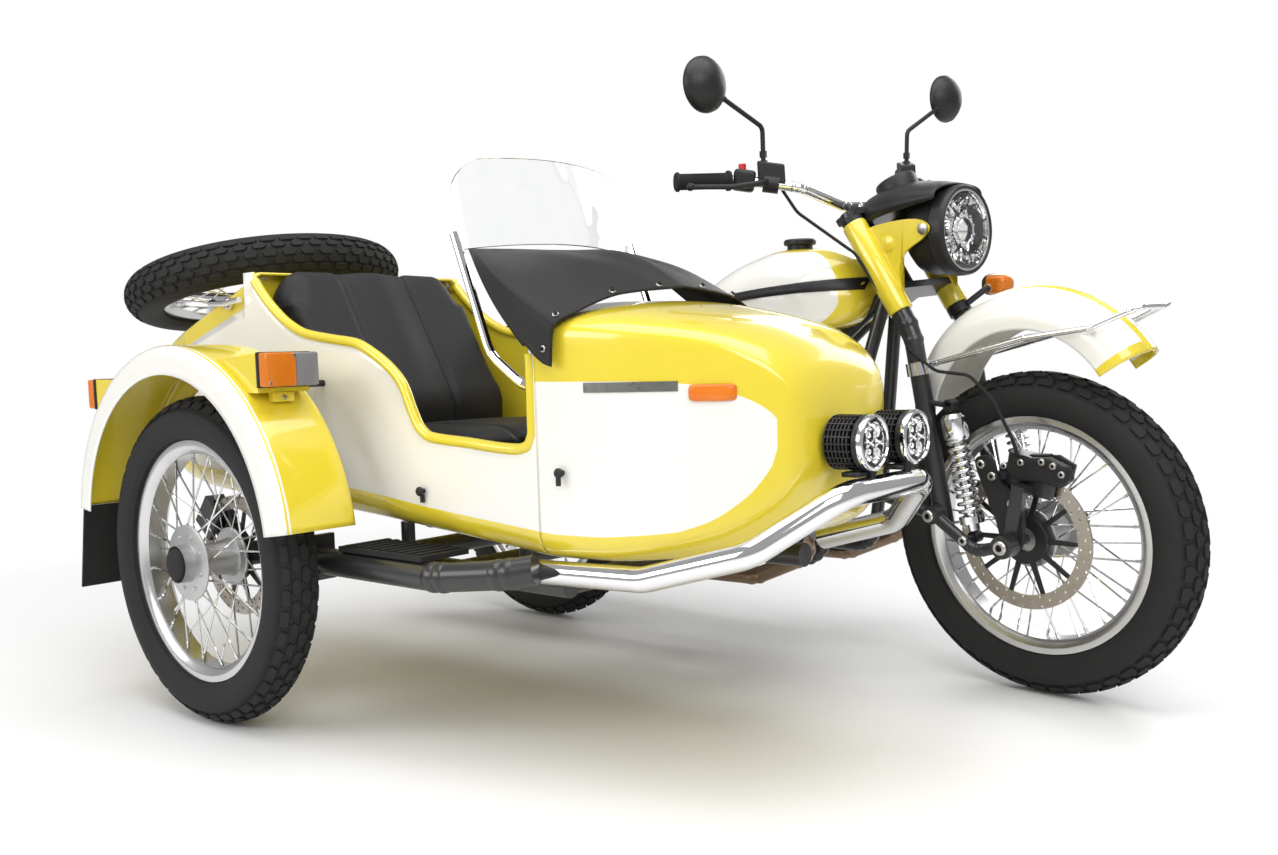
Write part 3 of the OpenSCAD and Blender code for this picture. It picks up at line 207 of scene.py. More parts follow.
# Exhaust. Steel pipes and silencers, bent and welded.
# Heat has blued and browned them along the run under the engine.
heat_steel = finish("heat_browned_steel", (0.32, 0.23, 0.16), 0.32, metal=1.0, mottle=0.45, patch=7, swing=0.12)
dress(heat_steel, "exhaust")

# Rear spring legs. Coils and covers of chromed steel over polished rods.
# They are bolted between the frame and the swing arm.
chrome = finish("chrome", (0.78, 0.78, 0.79), 0.08, metal=1.0, mottle=0.04, patch=3, swing=0.035)
dress(chrome, "rear_shocks")

# Fuel tank. Pressed steel in two-tone gloss enamel: yellow round a white side panel.
# The skin is drawn through the pressing's stations; its rows follow the edge of the painted panel.
yellow = finish("yellow_enamel", (0.75, 0.60, 0.036), 0.22, coat=0.9, mottle=0.035, patch=2.5, swing=0.03,
                peel=0.025, peel_size=160)
white = finish("warm_white_enamel", (0.83, 0.82, 0.77), 0.22, coat=0.9, mottle=0.02, patch=2.5, swing=0.03,
               peel=0.025, peel_size=160)


def between(table, x, col):
    """Smooth value of one column at x, with no overshoot between the table's rows."""
    if x <= table[0][0]:
        return table[0][col]
    if x >= table[-1][0]:
        return table[-1][col]
    i = max(k for k in range(len(table) - 1) if table[k][0] <= x)
    slope = [(b[col] - a[col]) / (b[0] - a[0]) for a, b in zip(table, table[1:])]

    def tangent(k):
        if k in (0, len(table) - 1):
            return slope[min(k, len(slope) - 1)]
        a, b = slope[k - 1], slope[k]
        return 0.0 if a * b <= 0 else 2 * a * b / (a + b)

    span = table[i + 1][0] - table[i][0]
    t = (x - table[i][0]) / span
    return ((2 * t**3 - 3 * t**2 + 1) * table[i][col] + (t**3 - 2 * t**2 + t) * span * tangent(i)
            + (3 * t**2 - 2 * t**3) * table[i + 1][col] + (t**3 - t**2) * span * tangent(i + 1))


def smooth(made, sharp=None):
    """Soft shading, with edges sharper than the given angle kept crisp."""
    for face in made.data.polygons:
        face.use_smooth = True
    if sharp:
        made.data.set_sharp_from_angle(angle=math.radians(sharp))
    return made


def skin(name, rows, mats, pick=None, loop=True, caps=False, thick=0.0, sharp=None):
    """Quad skin through rows of points; pick(i, j) names the material of a face."""
    wide, last = len(rows[0]), len(rows) - 1
    faces, kinds = [], []
    for i in range(last):
        for j in range(wide if loop else wide - 1):
            k = (j + 1) % wide
            faces.append((i * wide + j, i * wide + k, (i + 1) * wide + k, (i + 1) * wide + j))
            kinds.append(pick(i, j) if pick else 0)
    if caps:
        faces += [tuple(range(wide - 1, -1, -1)), tuple(last * wide + j for j in range(wide))]
        kinds += [pick(0, 0) if pick else 0, pick(last - 1, 0) if pick else 0]
    made = new_mesh(name, [p for row in rows for p in row], faces)
    for mat in mats:
        made.data.materials.append(mat)
    for face, kind in zip(made.data.polygons, kinds):
        face.material_index = kind
    smooth(made, sharp)
    if thick:
        shell = made.modifiers.new("shell", "SOLIDIFY")
        shell.thickness, shell.offset = thick / 1000, -1
    return made


def fit(made, body, *nodes, slot=None):
    """Piece riding on a body, in place of the named solids."""
    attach(made, body)
    if nodes:
        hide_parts(*nodes)
    return made


tank_table = [[612, 40, 842, 862], [620, 66, 836, 868], [650, 92, 815, 893], [710, 124, 800, 929],
              [790, 146, 792, 960], [880, 153, 786, 980], [970, 146, 784, 976], [1030, 120, 790, 956],
              [1070, 90, 806, 926], [1092, 60, 836, 888], [1098, 34, 850, 874]]
floor_bend, shoulder_from, crest = 9, 15, 31


def tank_section(x):
    """Half width, floor, crest and shoulder radius of the pressing at station x."""
    half, low, high = (between(tank_table, x, c) for c in (1, 2, 3))
    return half, low, high, min(half * 0.92, (high - low) * 0.62)


def tank_point(x, k):
    """Point k of 32 up one side of the pressing at station x, from the middle of the floor to the crest."""
    half, low, high, r = tank_section(x)
    foot = min(26, (high - low) * 0.3)
    if k < floor_bend:
        a = math.radians(-90 + 90 * k / 8)
        return half - foot + foot * math.cos(a), low + foot + foot * math.sin(a)
    if k < shoulder_from:
        return half, low + foot + (high - r - low - foot) * (k - 8) / 7
    a = math.radians(90 * (k - shoulder_from) / (crest - shoulder_from))
    return half - r + r * math.cos(a), high - r + r * math.sin(a)


def tank_side(x, z):
    """Half width of the tank's upper side at station x and height z."""
    half, low, high, r = tank_section(x)
    return half - r + math.sqrt(max(0.0, r * r - max(0.0, z - high + r) ** 2))


tank_rear, tank_front, panel_steps, tank_steps = tank_table[0][0], tank_table[-1][0], 52, 68
tank_rows = []
for i in range(tank_steps + 1):
    row = []
    for j in range(64):
        k = min(j, 63 - j)
        panel_end = 1050 - 110 * (1 - math.sqrt(max(0.0, 1 - ((k - shoulder_from) / 12.5) ** 2)))
        if i <= panel_steps:
            x = tank_rear + (panel_end - tank_rear) * i / panel_steps
        else:
            x = panel_end + (tank_front - panel_end) * (i - panel_steps) / (tank_steps - panel_steps)
        y, z = tank_point(x, k)
        row.append(spot(x, y if j < 32 else -y, z))
    tank_rows.append(row)


def tank_paint(i, j):
    return 1 if 2 <= i < panel_steps and 3 <= min(j, 62 - j) < 27 else 0


tank = skin("tank_skin", tank_rows, (yellow, white), tank_paint, caps=True, sharp=50)
fit(tank, "chassis", "fuel_tank", slot="paint_yellow")

# Knee straps. Moulded black rubber along each side of the tank, from a round pad to the tank's nose.
# Strap and pad follow the pressing's side and are glued on.
both_sides = ((1, "left"), (-1, "right"))


def join(name, *parts):
    """One piece out of several meshes; each keeps its own materials."""
    bpy.ops.object.select_all(action="DESELECT")
    for part in parts:
        part.select_set(True)
    bpy.context.view_layer.objects.active = parts[0]
    bpy.ops.object.join()
    parts[0].name = name
    return parts[0]


def around(count, shift=0.0):
    """Angles of evenly spaced points round a circle."""
    return [2 * math.pi * (k + shift) / count for k in range(count)]


for side, word in both_sides:
    strap_rows = []
    for k in range(33):
        x = 728 + (1090 - 728) * k / 32
        z = 868 + (x - 728) * 0.066 - 3 * ((x - 909) / 181) ** 2
        half = 10 + 4 * (k / 32) ** 3
        out = [(-2, -half - 1), (4, -half), (6, -half + 3), (6, half - 3), (4, half), (-2, half + 1)]
        strap_rows.append([spot(x, side * (tank_side(x, z + w) + d), z + w) for d, w in out])
    strap = skin("knee_strap_" + word, strap_rows, (satin_black,), caps=True, sharp=45)
    pad_rows = []
    for r, d in ((0.5, 9), (22, 8.5), (31, 6.5), (35, 2), (36, -3)):
        ring = [(716 + r * math.cos(a), 865 + r * math.sin(a)) for a in around(40)]
        pad_rows.append([spot(x, side * (tank_side(x, z) + d), z) for x, z in ring])
    pad = skin("knee_pad", pad_rows, (satin_black,), caps=True, sharp=45)
    fit(join("knee_strap_" + word, strap, pad), "chassis", slot="rubber")

# Filler cap. Moulded black plastic with a stepped edge.
# It screws onto a short neck at the tank's crest.
def merged(made, gap=1e-6):
    """Doubled points closed, and all faces turned outward."""
    clean = bmesh.new()
    clean.from_mesh(made.data)
    bmesh.ops.remove_doubles(clean, verts=clean.verts, dist=gap)
    bmesh.ops.recalc_face_normals(clean, faces=clean.faces)
    clean.to_mesh(made.data)
    clean.free()
    return made


def turned(name, profile, place, mat, sides=48, sharp=32, closed=False):
    """Solid of revolution: (radius, height) pairs in mm about the place's own Z."""
    verts = [place @ Vector((r / 1000 * math.cos(a), r / 1000 * math.sin(a), h / 1000))
             for a in around(sides) for r, h in profile]
    wide, faces = len(profile), []
    for i in range(sides):
        n = (i + 1) % sides
        for j in range(wide if closed else wide - 1):
            k = (j + 1) % wide
            faces.append((i * wide + j, n * wide + j, n * wide + k, i * wide + k))
    return smooth(merged(new_mesh(name, verts, faces, mat)), sharp)


def seat_at(where, degrees=0, axis="X", place=None):
    """Seat of a turned piece: where in mm, its own Z tipped about one axis."""
    seat = Matrix.Translation(spot(*where)) @ Matrix.Rotation(math.radians(degrees), 4, axis)
    return place @ seat if place else seat


cap = turned("filler_cap", [(0, 0), (30, 0), (30, 11), (36, 12), (38, 14), (38, 21), (35, 25), (24, 26), (22, 24),
                            (0, 24)], seat_at((883, 0, 980.5)), satin_black)
fit(cap, "chassis", "tank_fittings", slot="black_plastic")

# Rear end. A pressed steel guard in yellow enamel and a moulded red tail lamp.
# Both are bolted on, and their solids are shown as they are.
def lens(name, colour, rough, through):
    """Moulded clear or tinted plastic."""
    mat = finish(name, colour, rough, mottle=0.06, patch=20, swing=0.02)
    shade = mat.node_tree.nodes["Principled BSDF"]
    shade.inputs["Transmission Weight"].default_value = through
    shade.inputs["IOR"].default_value = 1.45
    return mat


red_lens = lens("red_lens", (0.62, 0.02, 0.02), 0.12, 0.3)
orange_lens = lens("orange_lens", (0.95, 0.26, 0.02), 0.12, 0.35)
dress(yellow, "rear_fender")
dress(red_lens, "tail_lamp")

# Fork legs, arms and yokes turn with the bar. Steel tube in the frame's black coat.
# TURN takes pieces drawn straight ahead to the parked angle of the steering.
rake, parked_turn, head_x, head_z = math.radians(30), math.radians(-8.7), 1090, 978
leg_ahead, leg_out = 38, 104
steer_head = spot(head_x, 0, head_z)
TURN = (Matrix.Translation(steer_head) @ Matrix.Rotation(parked_turn, 4, Vector((-math.sin(rake), 0, math.cos(rake))))
        @ Matrix.Translation(-steer_head))
dress(black_paint, "fork", "leading_arms")


def rounded(points, bend, step=12):
    """Corner points in mm with each corner swapped for an arc of the given radius."""
    points = [Vector(p) for p in points]
    line = [points[0]]
    for before, p, after in zip(points, points[1:], points[2:]):
        u, v = (p - before).normalized(), (after - p).normalized()
        turn = u.angle(v)
        if turn < 0.04:
            line.append(p)
            continue
        reach = min(bend * math.tan(turn / 2), 0.48 * (p - before).length, 0.48 * (after - p).length)
        r = reach / math.tan(turn / 2)
        centre = p + (v - u).normalized() * r / math.cos(turn / 2)
        out = (p - u * reach - centre).normalized()
        n = max(2, math.ceil(math.degrees(turn) / step))
        line += [centre + r * (math.cos(turn * k / n) * out + math.sin(turn * k / n) * u) for k in range(n + 1)]
    return line + [points[-1]]


def pipe(name, line, r, mat, sides=14, place=None):
    """Round tube along points in mm; r may change with the share of the way."""
    line = [Vector(p) for p in line]
    last = len(line) - 1
    across, rows = None, []
    for i, p in enumerate(line):
        way = (line[min(i + 1, last)] - line[max(i - 1, 0)]).normalized()
        across = across or way.orthogonal().normalized()
        across = (across - way * across.dot(way)).normalized()
        over = way.cross(across)
        girth = r(i / last) if callable(r) else r
        ring = [spot(*(p + girth * (math.cos(a) * across + math.sin(a) * over))) for a in around(sides)]
        rows.append([place @ q for q in ring] if place else ring)
    return skin(name, rows, (mat,), caps=True, sharp=50)


# Leading-arm spring legs. A chromed coil round a polished damper, shrouded at the top.
# Rubber-bushed eyes at both ends take the bolts.
spring_low, spring_high, spring_out = (1383, 350), (1338, 628), 112
coil_r, wire_r, coil_turns = 20.5, 4.6, 10
for side, word in both_sides:
    low, high = (Vector((x, spring_out * side, z)) for x, z in (spring_low, spring_high))
    way, span = (high - low).normalized(), (high - low).length
    across = way.orthogonal().normalized()
    over = way.cross(across)
    coil = []
    for k in range(coil_turns * 20 + 1):
        a = 2 * math.pi * k / 20
        rise = span * (0.17 + 0.58 * k / (coil_turns * 20))
        coil.append(low + way * rise + coil_r * (math.cos(a) * across + math.sin(a) * over))
    wire = pipe("front_spring_" + word, coil, wire_r, chrome, 8, TURN)
    cup = coil_r + wire_r
    profile = [(0, 14), (13, 14), (13, span * 0.10), (cup + 1, span * 0.105), (cup + 1, span * 0.16),
               (11, span * 0.17), (11, span * 0.74), (cup, span * 0.745), (cup + 2, span * 0.76),
               (cup + 2, span * 0.9), (coil_r - 2, span * 0.93), (0, span * 0.94)]
    foot = TURN @ Matrix.Translation(spot(*low)) @ way.to_track_quat("Z", "Y").to_matrix().to_4x4()
    core = turned("core", profile, foot, chrome, 32)
    eyes = [turned("eye", [(7.3, -12), (12, -12), (13, -11), (13, 11), (12, 12), (7.3, 12)],
                   seat_at((x, spring_out * side, z), 90, "X", TURN), satin_black, 24, closed=True)
            for x, z in (spring_low, spring_high)]
    fit(join("front_spring_" + word, wire, core, *eyes), "steering", "front_shocks", slot="chrome")

# Front guard. Pressed steel: white flanks, a yellow ridge down the middle and a yellow tip.
# It is carried by the chromed rail on pegs and turns with the fork.
def quarter(steps, first=0):
    """Cosine and sine at even steps through a right angle."""
    turns = [math.radians(90 * k / steps) for k in range(first, steps + 1)]
    return [(math.cos(a), math.sin(a)) for a in turns]


def guard_rows(centre, crown, half, drop, corner, start, end, steps, place=None, ridge=0.0):
    """Rows of a wheel guard: section swept about the centre between two angles."""
    flat = half - corner
    section = [(-half, crown - drop + (drop - corner) * k / 4) for k in range(4)]
    section += [(-flat - corner * c, crown - corner + corner * s) for c, s in quarter(8)]
    section += [(-flat + flat * k / 4, crown + ridge * (k / 4) ** 2) for k in range(1, 4)]
    section += [(0, crown + ridge)] + [(-y, r) for y, r in reversed(section)]
    rows = []
    for s in range(steps + 1):
        a = math.radians(start + (end - start) * s / steps)
        row = [spot(centre[0] + r * math.cos(a), centre[1] + y, centre[2] + r * math.sin(a)) for y, r in section]
        rows.append([place @ p for p in row] if place else row)
    return rows


front_rows = guard_rows((1474, 0, 574), 284, 75, 80, 60, 32, 172, 90, TURN, ridge=5)
front_mid = (len(front_rows[0]) - 1) / 2


def front_paint(i, j):
    return 1 if abs(j + 0.5 - front_mid) < 3.2 or i < 3 else 0


front_guard = skin("front_guard", front_rows, (white, yellow), front_paint, loop=False, thick=3)
fit(front_guard, "steering", "front_fender", slot="paint_yellow")

# Fork covers. Pressed steel tubes round the upper legs, in yellow enamel, under black rubber seals.
# Broad gusset ears run out from them to the lamp, which is bolted between the two.
bolt_steel = finish("zinc_bolts", (0.55, 0.54, 0.52), 0.3, metal=1.0, mottle=0.15, patch=60, swing=0.1)


def axis_point(f, y, s):
    """Place in mm beside the steering axis: f ahead of it, s up along it."""
    return (head_x + f * math.cos(rake) - s * math.sin(rake), y, head_z + f * math.sin(rake) + s * math.cos(rake))


def plate(name, outline, y, thick, mat, place=None):
    """Flat plate with an (x, z) outline in mm, from y and thick towards the left."""
    sheet = bmesh.new()
    face = sheet.faces.new([sheet.verts.new(spot(x, y, z)) for x, z in outline])
    bmesh.ops.triangulate(sheet, faces=[face])
    grown = bmesh.ops.extrude_face_region(sheet, geom=sheet.faces[:])
    for item in grown["geom"]:
        if isinstance(item, bmesh.types.BMVert):
            item.co.y += thick / 1000
    bmesh.ops.recalc_face_normals(sheet, faces=sheet.faces)
    mesh = bpy.data.meshes.new(name)
    sheet.to_mesh(mesh)
    sheet.free()
    mesh.materials.append(mat)
    if place:
        mesh.transform(place)
    return stood(name, mesh)


def curve_through(points, steps=6):
    """Closed outline eased through its corner points."""
    n, line = len(points), []
    for i in range(n):
        a, b, c, d = (Vector(points[(i + k) % n]) for k in (-1, 0, 1, 2))
        for t in [s / steps for s in range(steps)]:
            line.append(tuple(0.5 * (2 * b + (c - a) * t + (2 * a - 5 * b + 4 * c - d) * t**2
                                     + (3 * b - a - 3 * c + d) * t**3)))
    return line


def bolt(where, way, r, mat, place=None, high=0.6):
    """Hex-socket bolt head at a place in mm, standing along way."""
    seat = Matrix.Translation(spot(*where)) @ Vector(way).to_track_quat("Z", "Y").to_matrix().to_4x4()
    profile = [(r * 0.45, r * high * 0.4), (r * 0.5, r * high), (r * 0.85, r * high), (r, r * high * 0.7),
               (r, -0.5 * r)]
    return turned("bolt", profile, place @ seat if place else seat, mat, 16)


ear_edge = [(1120, 1000), (1150, 1013), (1213, 1021), (1272, 1019), (1298, 1000), (1280, 978), (1240, 955),
            (1222, 925), (1222, 892), (1228, 850), (1205, 838)]
for side, word in both_sides:
    def up_leg(*rises):
        return [axis_point(leg_ahead, leg_out * side, s) for s in rises]

    tube = pipe("cover_tube", up_leg(-196, -192, 26, 30), lambda t: 27 if 0.3 < t < 0.7 else 25.5, yellow, 36, TURN)
    ear = plate("ear", curve_through(ear_edge), 97 if side > 0 else -103, 6, yellow, TURN)
    disc = turned("boss", [(0, 3), (14, 3), (17, 1.5), (18, -1)],
                  seat_at((1193, 103 * side, 974), -90 * side, "X", TURN), yellow, 32)
    collar = turned("collar", [(12, 0), (12, 5), (9, 6), (0, 6)],
                    seat_at((1285, 102 * side, 998), -90 * side, "X", TURN), bolt_steel, 24)
    spigot = pipe("spigot", [(1285, 85 * side, 998), (1285, 104 * side, 998)], 9, satin_black, 20, TURN)
    fit(join("fork_cover_" + word, tube, ear, disc, collar, spigot), "steering", "fork_covers", slot="paint_yellow")
    fit(pipe("leg_seal_" + word, up_leg(30.5, 31, 44, 45), 24, satin_black, 28, TURN), "steering", slot="rubber")

# Headlamp. A black bucket, a chromed reflector with twelve blades, and a clear domed glass.
# It hangs between the fork covers' ears.
reflector = finish("lamp_reflector", (0.86, 0.86, 0.87), 0.06, metal=1.0, mottle=0.03, patch=30, swing=0.03)
acrylic = lens("clear_acrylic", (0.97, 0.985, 0.985), 0.03, 1.0)
lamp_place = seat_at((1314, 0, 989), 90, "Y", TURN)
bucket = turned("lamp_bucket", [(84, -8), (86, 9), (88, 12), (92, 12), (95, 8), (96, 0), (96, -22), (93, -26),
                                (91, -30), (91, -62), (84, -84), (66, -102), (40, -108), (0, -108)],
                lamp_place, satin_black, 64)
bowl = turned("lamp_bowl", [(84.5, 4), (80, 0), (66, -22), (46, -42), (24, -52), (17, -53), (17, -40), (14, -36),
                            (0, -34)], lamp_place, reflector, 64)
rim = turned("lamp_rim", [(80, 6), (82, 9), (86, 9.5), (88, 8), (88, 4)], lamp_place, chrome, 64)
blades = []
for a in around(12, 0.5):
    quad = [Vector((r * math.cos(a), r * math.sin(a), h))
            for r, h in ((30, -47), (56, -30), (76, -4), (60, -14), (34, -34))]
    across = Vector((-math.sin(a), math.cos(a), 0))
    verts = [lamp_place @ ((q + across * w) / 1000) for w in (-2.2, 2.2) for q in quad]
    sides = [(k, k + 5, (k + 1) % 5 + 5, (k + 1) % 5) for k in range(5)]
    blades.append(new_mesh("blade", verts, [(0, 1, 2, 3, 4), (9, 8, 7, 6, 5)] + sides, reflector))
visor = turned("lamp_visor", [(20, -30), (22, -28), (22, -24), (12, -20), (0, -19)], lamp_place, chrome, 40)
fit(join("headlamp_assembly", bucket, bowl, rim, visor, *blades), "steering", "headlamp", slot="black_plastic")
glass = turned("headlamp_dome", [(85.5, 2), (85.5, 6), (80, 10), (62, 16), (38, 20), (16, 22), (0, 22.5), (0, 20),
                                 (16, 19.5), (38, 17.5), (62, 13.5), (79, 7.5), (84, 2)], lamp_place, acrylic, 64)
fit(glass, "steering", "headlamp_glass", slot="clear")

# Instrument cowl. Moulded black plastic, from the bars over the lamp, on two short stays.
# One round clock stands in the top of it, with a blank face.
def applied(made, modifier):
    bpy.ops.object.select_all(action="DESELECT")
    bpy.context.view_layer.objects.active = made
    made.select_set(True)
    bpy.ops.object.modifier_apply(modifier=modifier)
    return made


cowl_table = [[1066, 40, 1028, 1062], [1085, 66, 1024, 1074], [1120, 82, 1026, 1090], [1165, 92, 1034, 1101],
              [1210, 95, 1042, 1104], [1260, 94, 1050, 1099], [1296, 92, 1056, 1092], [1306, 90, 1060, 1088]]
cowl_rows = []
for x in [1066 + 240 * k / 30 for k in range(31)]:
    half, low, high = (between(cowl_table, x, c) for c in (1, 2, 3))
    arch = [math.radians(180 * k / 24) for k in range(25)]
    cowl_rows.append([TURN @ spot(x, half * math.cos(a), low + (high - low) * math.sin(a) ** 0.7) for a in arch])
cowl = applied(skin("cowl_shell", cowl_rows, (satin_black,), loop=False, thick=3), "shell")
clock = turned("clock", [(0, 4), (38, 4), (40, 9), (44, 9), (46, 5), (46, -20), (0, -20)],
               seat_at((1150, 0, 1104), -24, "Y", TURN), satin_black, 40)
stays = [pipe("stay", ends, 9, satin_black, 14, TURN)
         for ends in ([(1088, 0, 1056), (1140, 0, 1092)], [(1270, 0, 1066), (1270, 0, 1090)])]
fit(join("cowl_assembly", cowl, clock, *stays), "steering", "instrument_cowl", slot="black_plastic")

# Handlebar and hand controls. Chromed bar, ribbed black grips, cast lever perches and switch boxes.
# Each side has a fluid cup and a lever; the right side also has a red stop button.
dress(chrome, "handlebar", "fender_rail")
rubber = finish("black_rubber", (0.022, 0.022, 0.022), 0.7, mottle=0.25, patch=20, swing=0.1, peel=0.3, peel_size=600,
                shine=0.2)
red_plastic = finish("red_button", (0.6, 0.02, 0.02), 0.35, mottle=0.08, patch=40)
grip_stops = [(0, 21), (0.02, 22), (0.06, 22), (0.08, 17), (0.3, 16.5), (0.6, 16.5), (0.93, 17), (0.945, 21),
              (0.98, 21), (1, 19)]


def eased(made, width, segments=3, angle=None):
    """Edges rounded to a width in mm."""
    edge = made.modifiers.new("ease", "BEVEL")
    edge.width, edge.segments = width / 1000, segments
    if angle:
        edge.limit_method, edge.angle_limit = "ANGLE", math.radians(angle)
    return applied(made, "ease")


def box_of(name, corners, mat, ease, place=None):
    """Moulded box on eight corners in mm, with eased edges."""
    verts = [place @ spot(*c) if place else spot(*c) for c in corners]
    sides = [(0, 1, 3, 2), (4, 6, 7, 5), (0, 4, 5, 1), (2, 3, 7, 6), (0, 2, 6, 4), (1, 5, 7, 3)]
    return eased(new_mesh(name, verts, sides, mat), ease)


for side, word in both_sides:
    bend_at, knee, end = (Vector((x, y * side, z))
                          for x, y, z in ((1048, 210, 1112), (960, 290, 1138), (887, 420, 1144)))
    out = (end - knee).normalized()
    start, tip = knee + (end - knee) * 0.2, end + out * 4
    parts = [pipe("grip", [start + (tip - start) * t for t, r in grip_stops], lambda t: grip_stops[round(t * 9)][1],
                  rubber, 28, TURN)]
    across = out.orthogonal().normalized()
    over = out.cross(across)
    for a in around(30):
        off = 16.6 * (math.cos(a) * across + math.sin(a) * over)
        parts.append(pipe("rib", [start + (tip - start) * t + off for t in (0.1, 0.92)], 0.9, rubber, 5, TURN))
    fit(join("grip_" + word, *parts), "steering", "hand_controls", slot="rubber")
    perch = pipe("perch", [bend_at + (knee - bend_at) * t for t in (0.36, 0.38, 0.62, 0.64)], 20,
                 satin_black, 24, TURN)
    way = (knee - bend_at).normalized()
    flat = way.cross(Vector((0, 0, 1))).normalized()
    up = flat.cross(way)
    mid, cup_at = knee + (end - knee) * 0.06, Vector((1003, 246 * side, 1140))
    case = box_of("switch_box", [mid + way * u + flat * v + up * w for u in (-34, 14) for v in (-19, 21)
                                 for w in (-22, 24)], satin_black, 8, TURN)
    cup = box_of("reservoir", [cup_at + way * u + flat * v + Vector((0, 0, w)) for u in (-30, 30) for v in (-17, 17)
                               for w in (-14, 30)], satin_black, 4, TURN)
    lever_line = [(x, y * side, z)
                  for x, y, z in ((1004, 256, 1130), (1010, 292, 1126), (985, 350, 1122), (938, 432, 1128))]
    lever = pipe("lever", rounded(lever_line, 30), lambda t: 8 - 2.5 * t, satin_black, 14, TURN)
    knob = turned("knob", [(0, 9), (5, 7.5), (8.5, 3), (9, 0), (8.5, -3), (5, -7.5), (0, -9)],
                  seat_at(lever_line[-1], place=TURN), satin_black, 20)
    parts = [perch, cup, lever, knob, case]
    if word == "right":
        parts.append(turned("stop_button", [(0, 12), (7, 12), (8.5, 10), (8.5, -8)],
                            seat_at((958, -288, 1162), place=TURN), red_plastic, 20))
    fit(join("controls_" + word, *parts), "steering", "hand_controls", slot="black_plastic")

# Mirrors. Deep black plastic shells on bent steel stalks, with a silvered plate behind.
# Two nuts lock each stalk to its lever perch.
mirror_glass = finish("mirror_glass", (0.8, 0.82, 0.84), 0.04, metal=1.0, mottle=0.03, patch=20, swing=0.02)
for side, word in both_sides:
    def on_side(*points):
        return [(x, y * side, z) for x, y, z in points]

    stalk = pipe("stalk", rounded(on_side((994, 260, 1159), (1000, 262, 1246), (1004, 392, 1306)), 18, 8), 5.2,
                 satin_black, 14, TURN)
    nuts = [pipe("nut", ends, r, satin_black, 6, TURN)
            for ends, r in ((on_side((994.5, 260, 1160), (994.8, 260, 1176)), 9),
                            (on_side((995.5, 260.3, 1182), (996.4, 260.6, 1196)), 8))]
    neck = pipe("neck", on_side((1004, 378, 1300), (1005, 402, 1311), (1008, 424, 1322)), lambda t: 6 + 14 * t * t,
                satin_black, 18, TURN)
    face_place = seat_at((1004, 430 * side, 1329), 90, "Y", TURN)
    shell = turned("mirror_shell", [(55, -10), (57, -11), (58, -8), (57, 0), (50, 9), (38, 20), (24, 28),
                                    (10, 32), (0, 33)], face_place, satin_black, 48)
    pane = turned("mirror_pane", [(0, -9), (55, -9.5), (55.5, -8)], face_place, mirror_glass, 48)
    fit(join("mirror_" + word, stalk, *nuts, neck, shell, pane), "steering", "mirrors", slot="black_plastic")

# Front turn signal. One moulded orange lens on a black arm, clamped round the left leg by a ring.
# The sidecar's guard lamps signal to the right.
def squared(a, wide, high, power):
    """Point of a rounded oblong at angle a; a lower power gives squarer corners."""
    c, s = math.cos(a), math.sin(a)
    return wide * math.copysign(abs(c) ** power, c), high * math.copysign(abs(s) ** power, s)


ring = pipe("ring", [axis_point(leg_ahead, leg_out, s) for s in (-218.5, -217.5, -199.5, -198.5)], 26,
            satin_black, 28, TURN)
arm = pipe("arm", rounded([axis_point(62, leg_out, -208), (1276, 134, 857), (1283, 170, 866)], 20), 7,
           satin_black, 14, TURN)
collar = pipe("collar", [(1277, 140, 858.5), (1280, 156, 862.5)], 10, bolt_steel, 20, TURN)
signal_rows = []
for x, wide, high in ((1258, 12, 10), (1259, 22, 18), (1266, 28, 23), (1272, 29, 24), (1272.2, 28, 23),
                      (1296, 27, 22), (1308, 24, 19.5), (1316, 17, 14), (1318.5, 8, 7)):
    edge = [squared(a, wide, high, 0.7) for a in around(40)]
    signal_rows.append([TURN @ spot(x, 170 + y, 866 + z) for y, z in edge])
glow = skin("signal_lens", signal_rows, (satin_black, orange_lens), lambda i, j: 1 if i > 3 else 0,
            caps=True, sharp=40)
fit(join("signal_left", glow, ring, arm, collar), "steering", "front_indicators", slot="lens")

# Front brake. Black four-piston caliper on a machined bracket, with zinc bolts.
# A rubber hose runs from it up the leg to the right-hand fluid cup.
caliper_parts = []
for name, outline, y0, y1, ease in (
        ("caliper_outer", [(1430, 470), (1440, 500), (1470, 520), (1545, 522), (1585, 505), (1592, 478), (1570, 462),
                           (1520, 474), (1470, 468), (1445, 456)], -102, -74, 5),
        ("caliper_inner", [(1440, 475), (1450, 505), (1480, 520), (1545, 522), (1580, 503), (1570, 470), (1500, 478)],
         -57, -42, 4),
        ("caliper_bridge", [(1490, 504), (1490, 524), (1535, 526), (1535, 506)], -76, -55, 3),
        ("caliper_bracket", curve_through([(1398, 500), (1402, 522), (1430, 520), (1452, 470), (1492, 440),
                                           (1500, 400), (1496, 350), (1478, 322), (1452, 330), (1442, 380),
                                           (1420, 440)], 4),
         -122, -110, 2)):
    cast = eased(plate(name, outline, y0, y1 - y0, satin_black), ease, 2, 40)
    cast.data.transform(TURN)
    caliper_parts.append(cast)
for y, r, places in ((-103, 7, ((1452, 503), (1560, 508), (1578, 492), (1490, 512), (1536, 515))),
                     (-123, 9, ((1412, 508), (1436, 484), (1478, 430), (1470, 344))),
                     (-157, 13, ((1302, 396),)), (-157, 15, ((1470, 344),)), (-157, 10, ((1383, 350),))):
    caliper_parts += [bolt((x, y, z), (0, -1, 0), r, bolt_steel, TURN) for x, z in places]
caliper_parts += [pipe("spacer", [(x, -112, z), (x, -98, z)], 9, satin_black, 14, TURN)
                  for x, z in ((1452, 484), (1478, 470))]
fit(join("front_caliper", *caliper_parts), "steering", slot="black_metal")
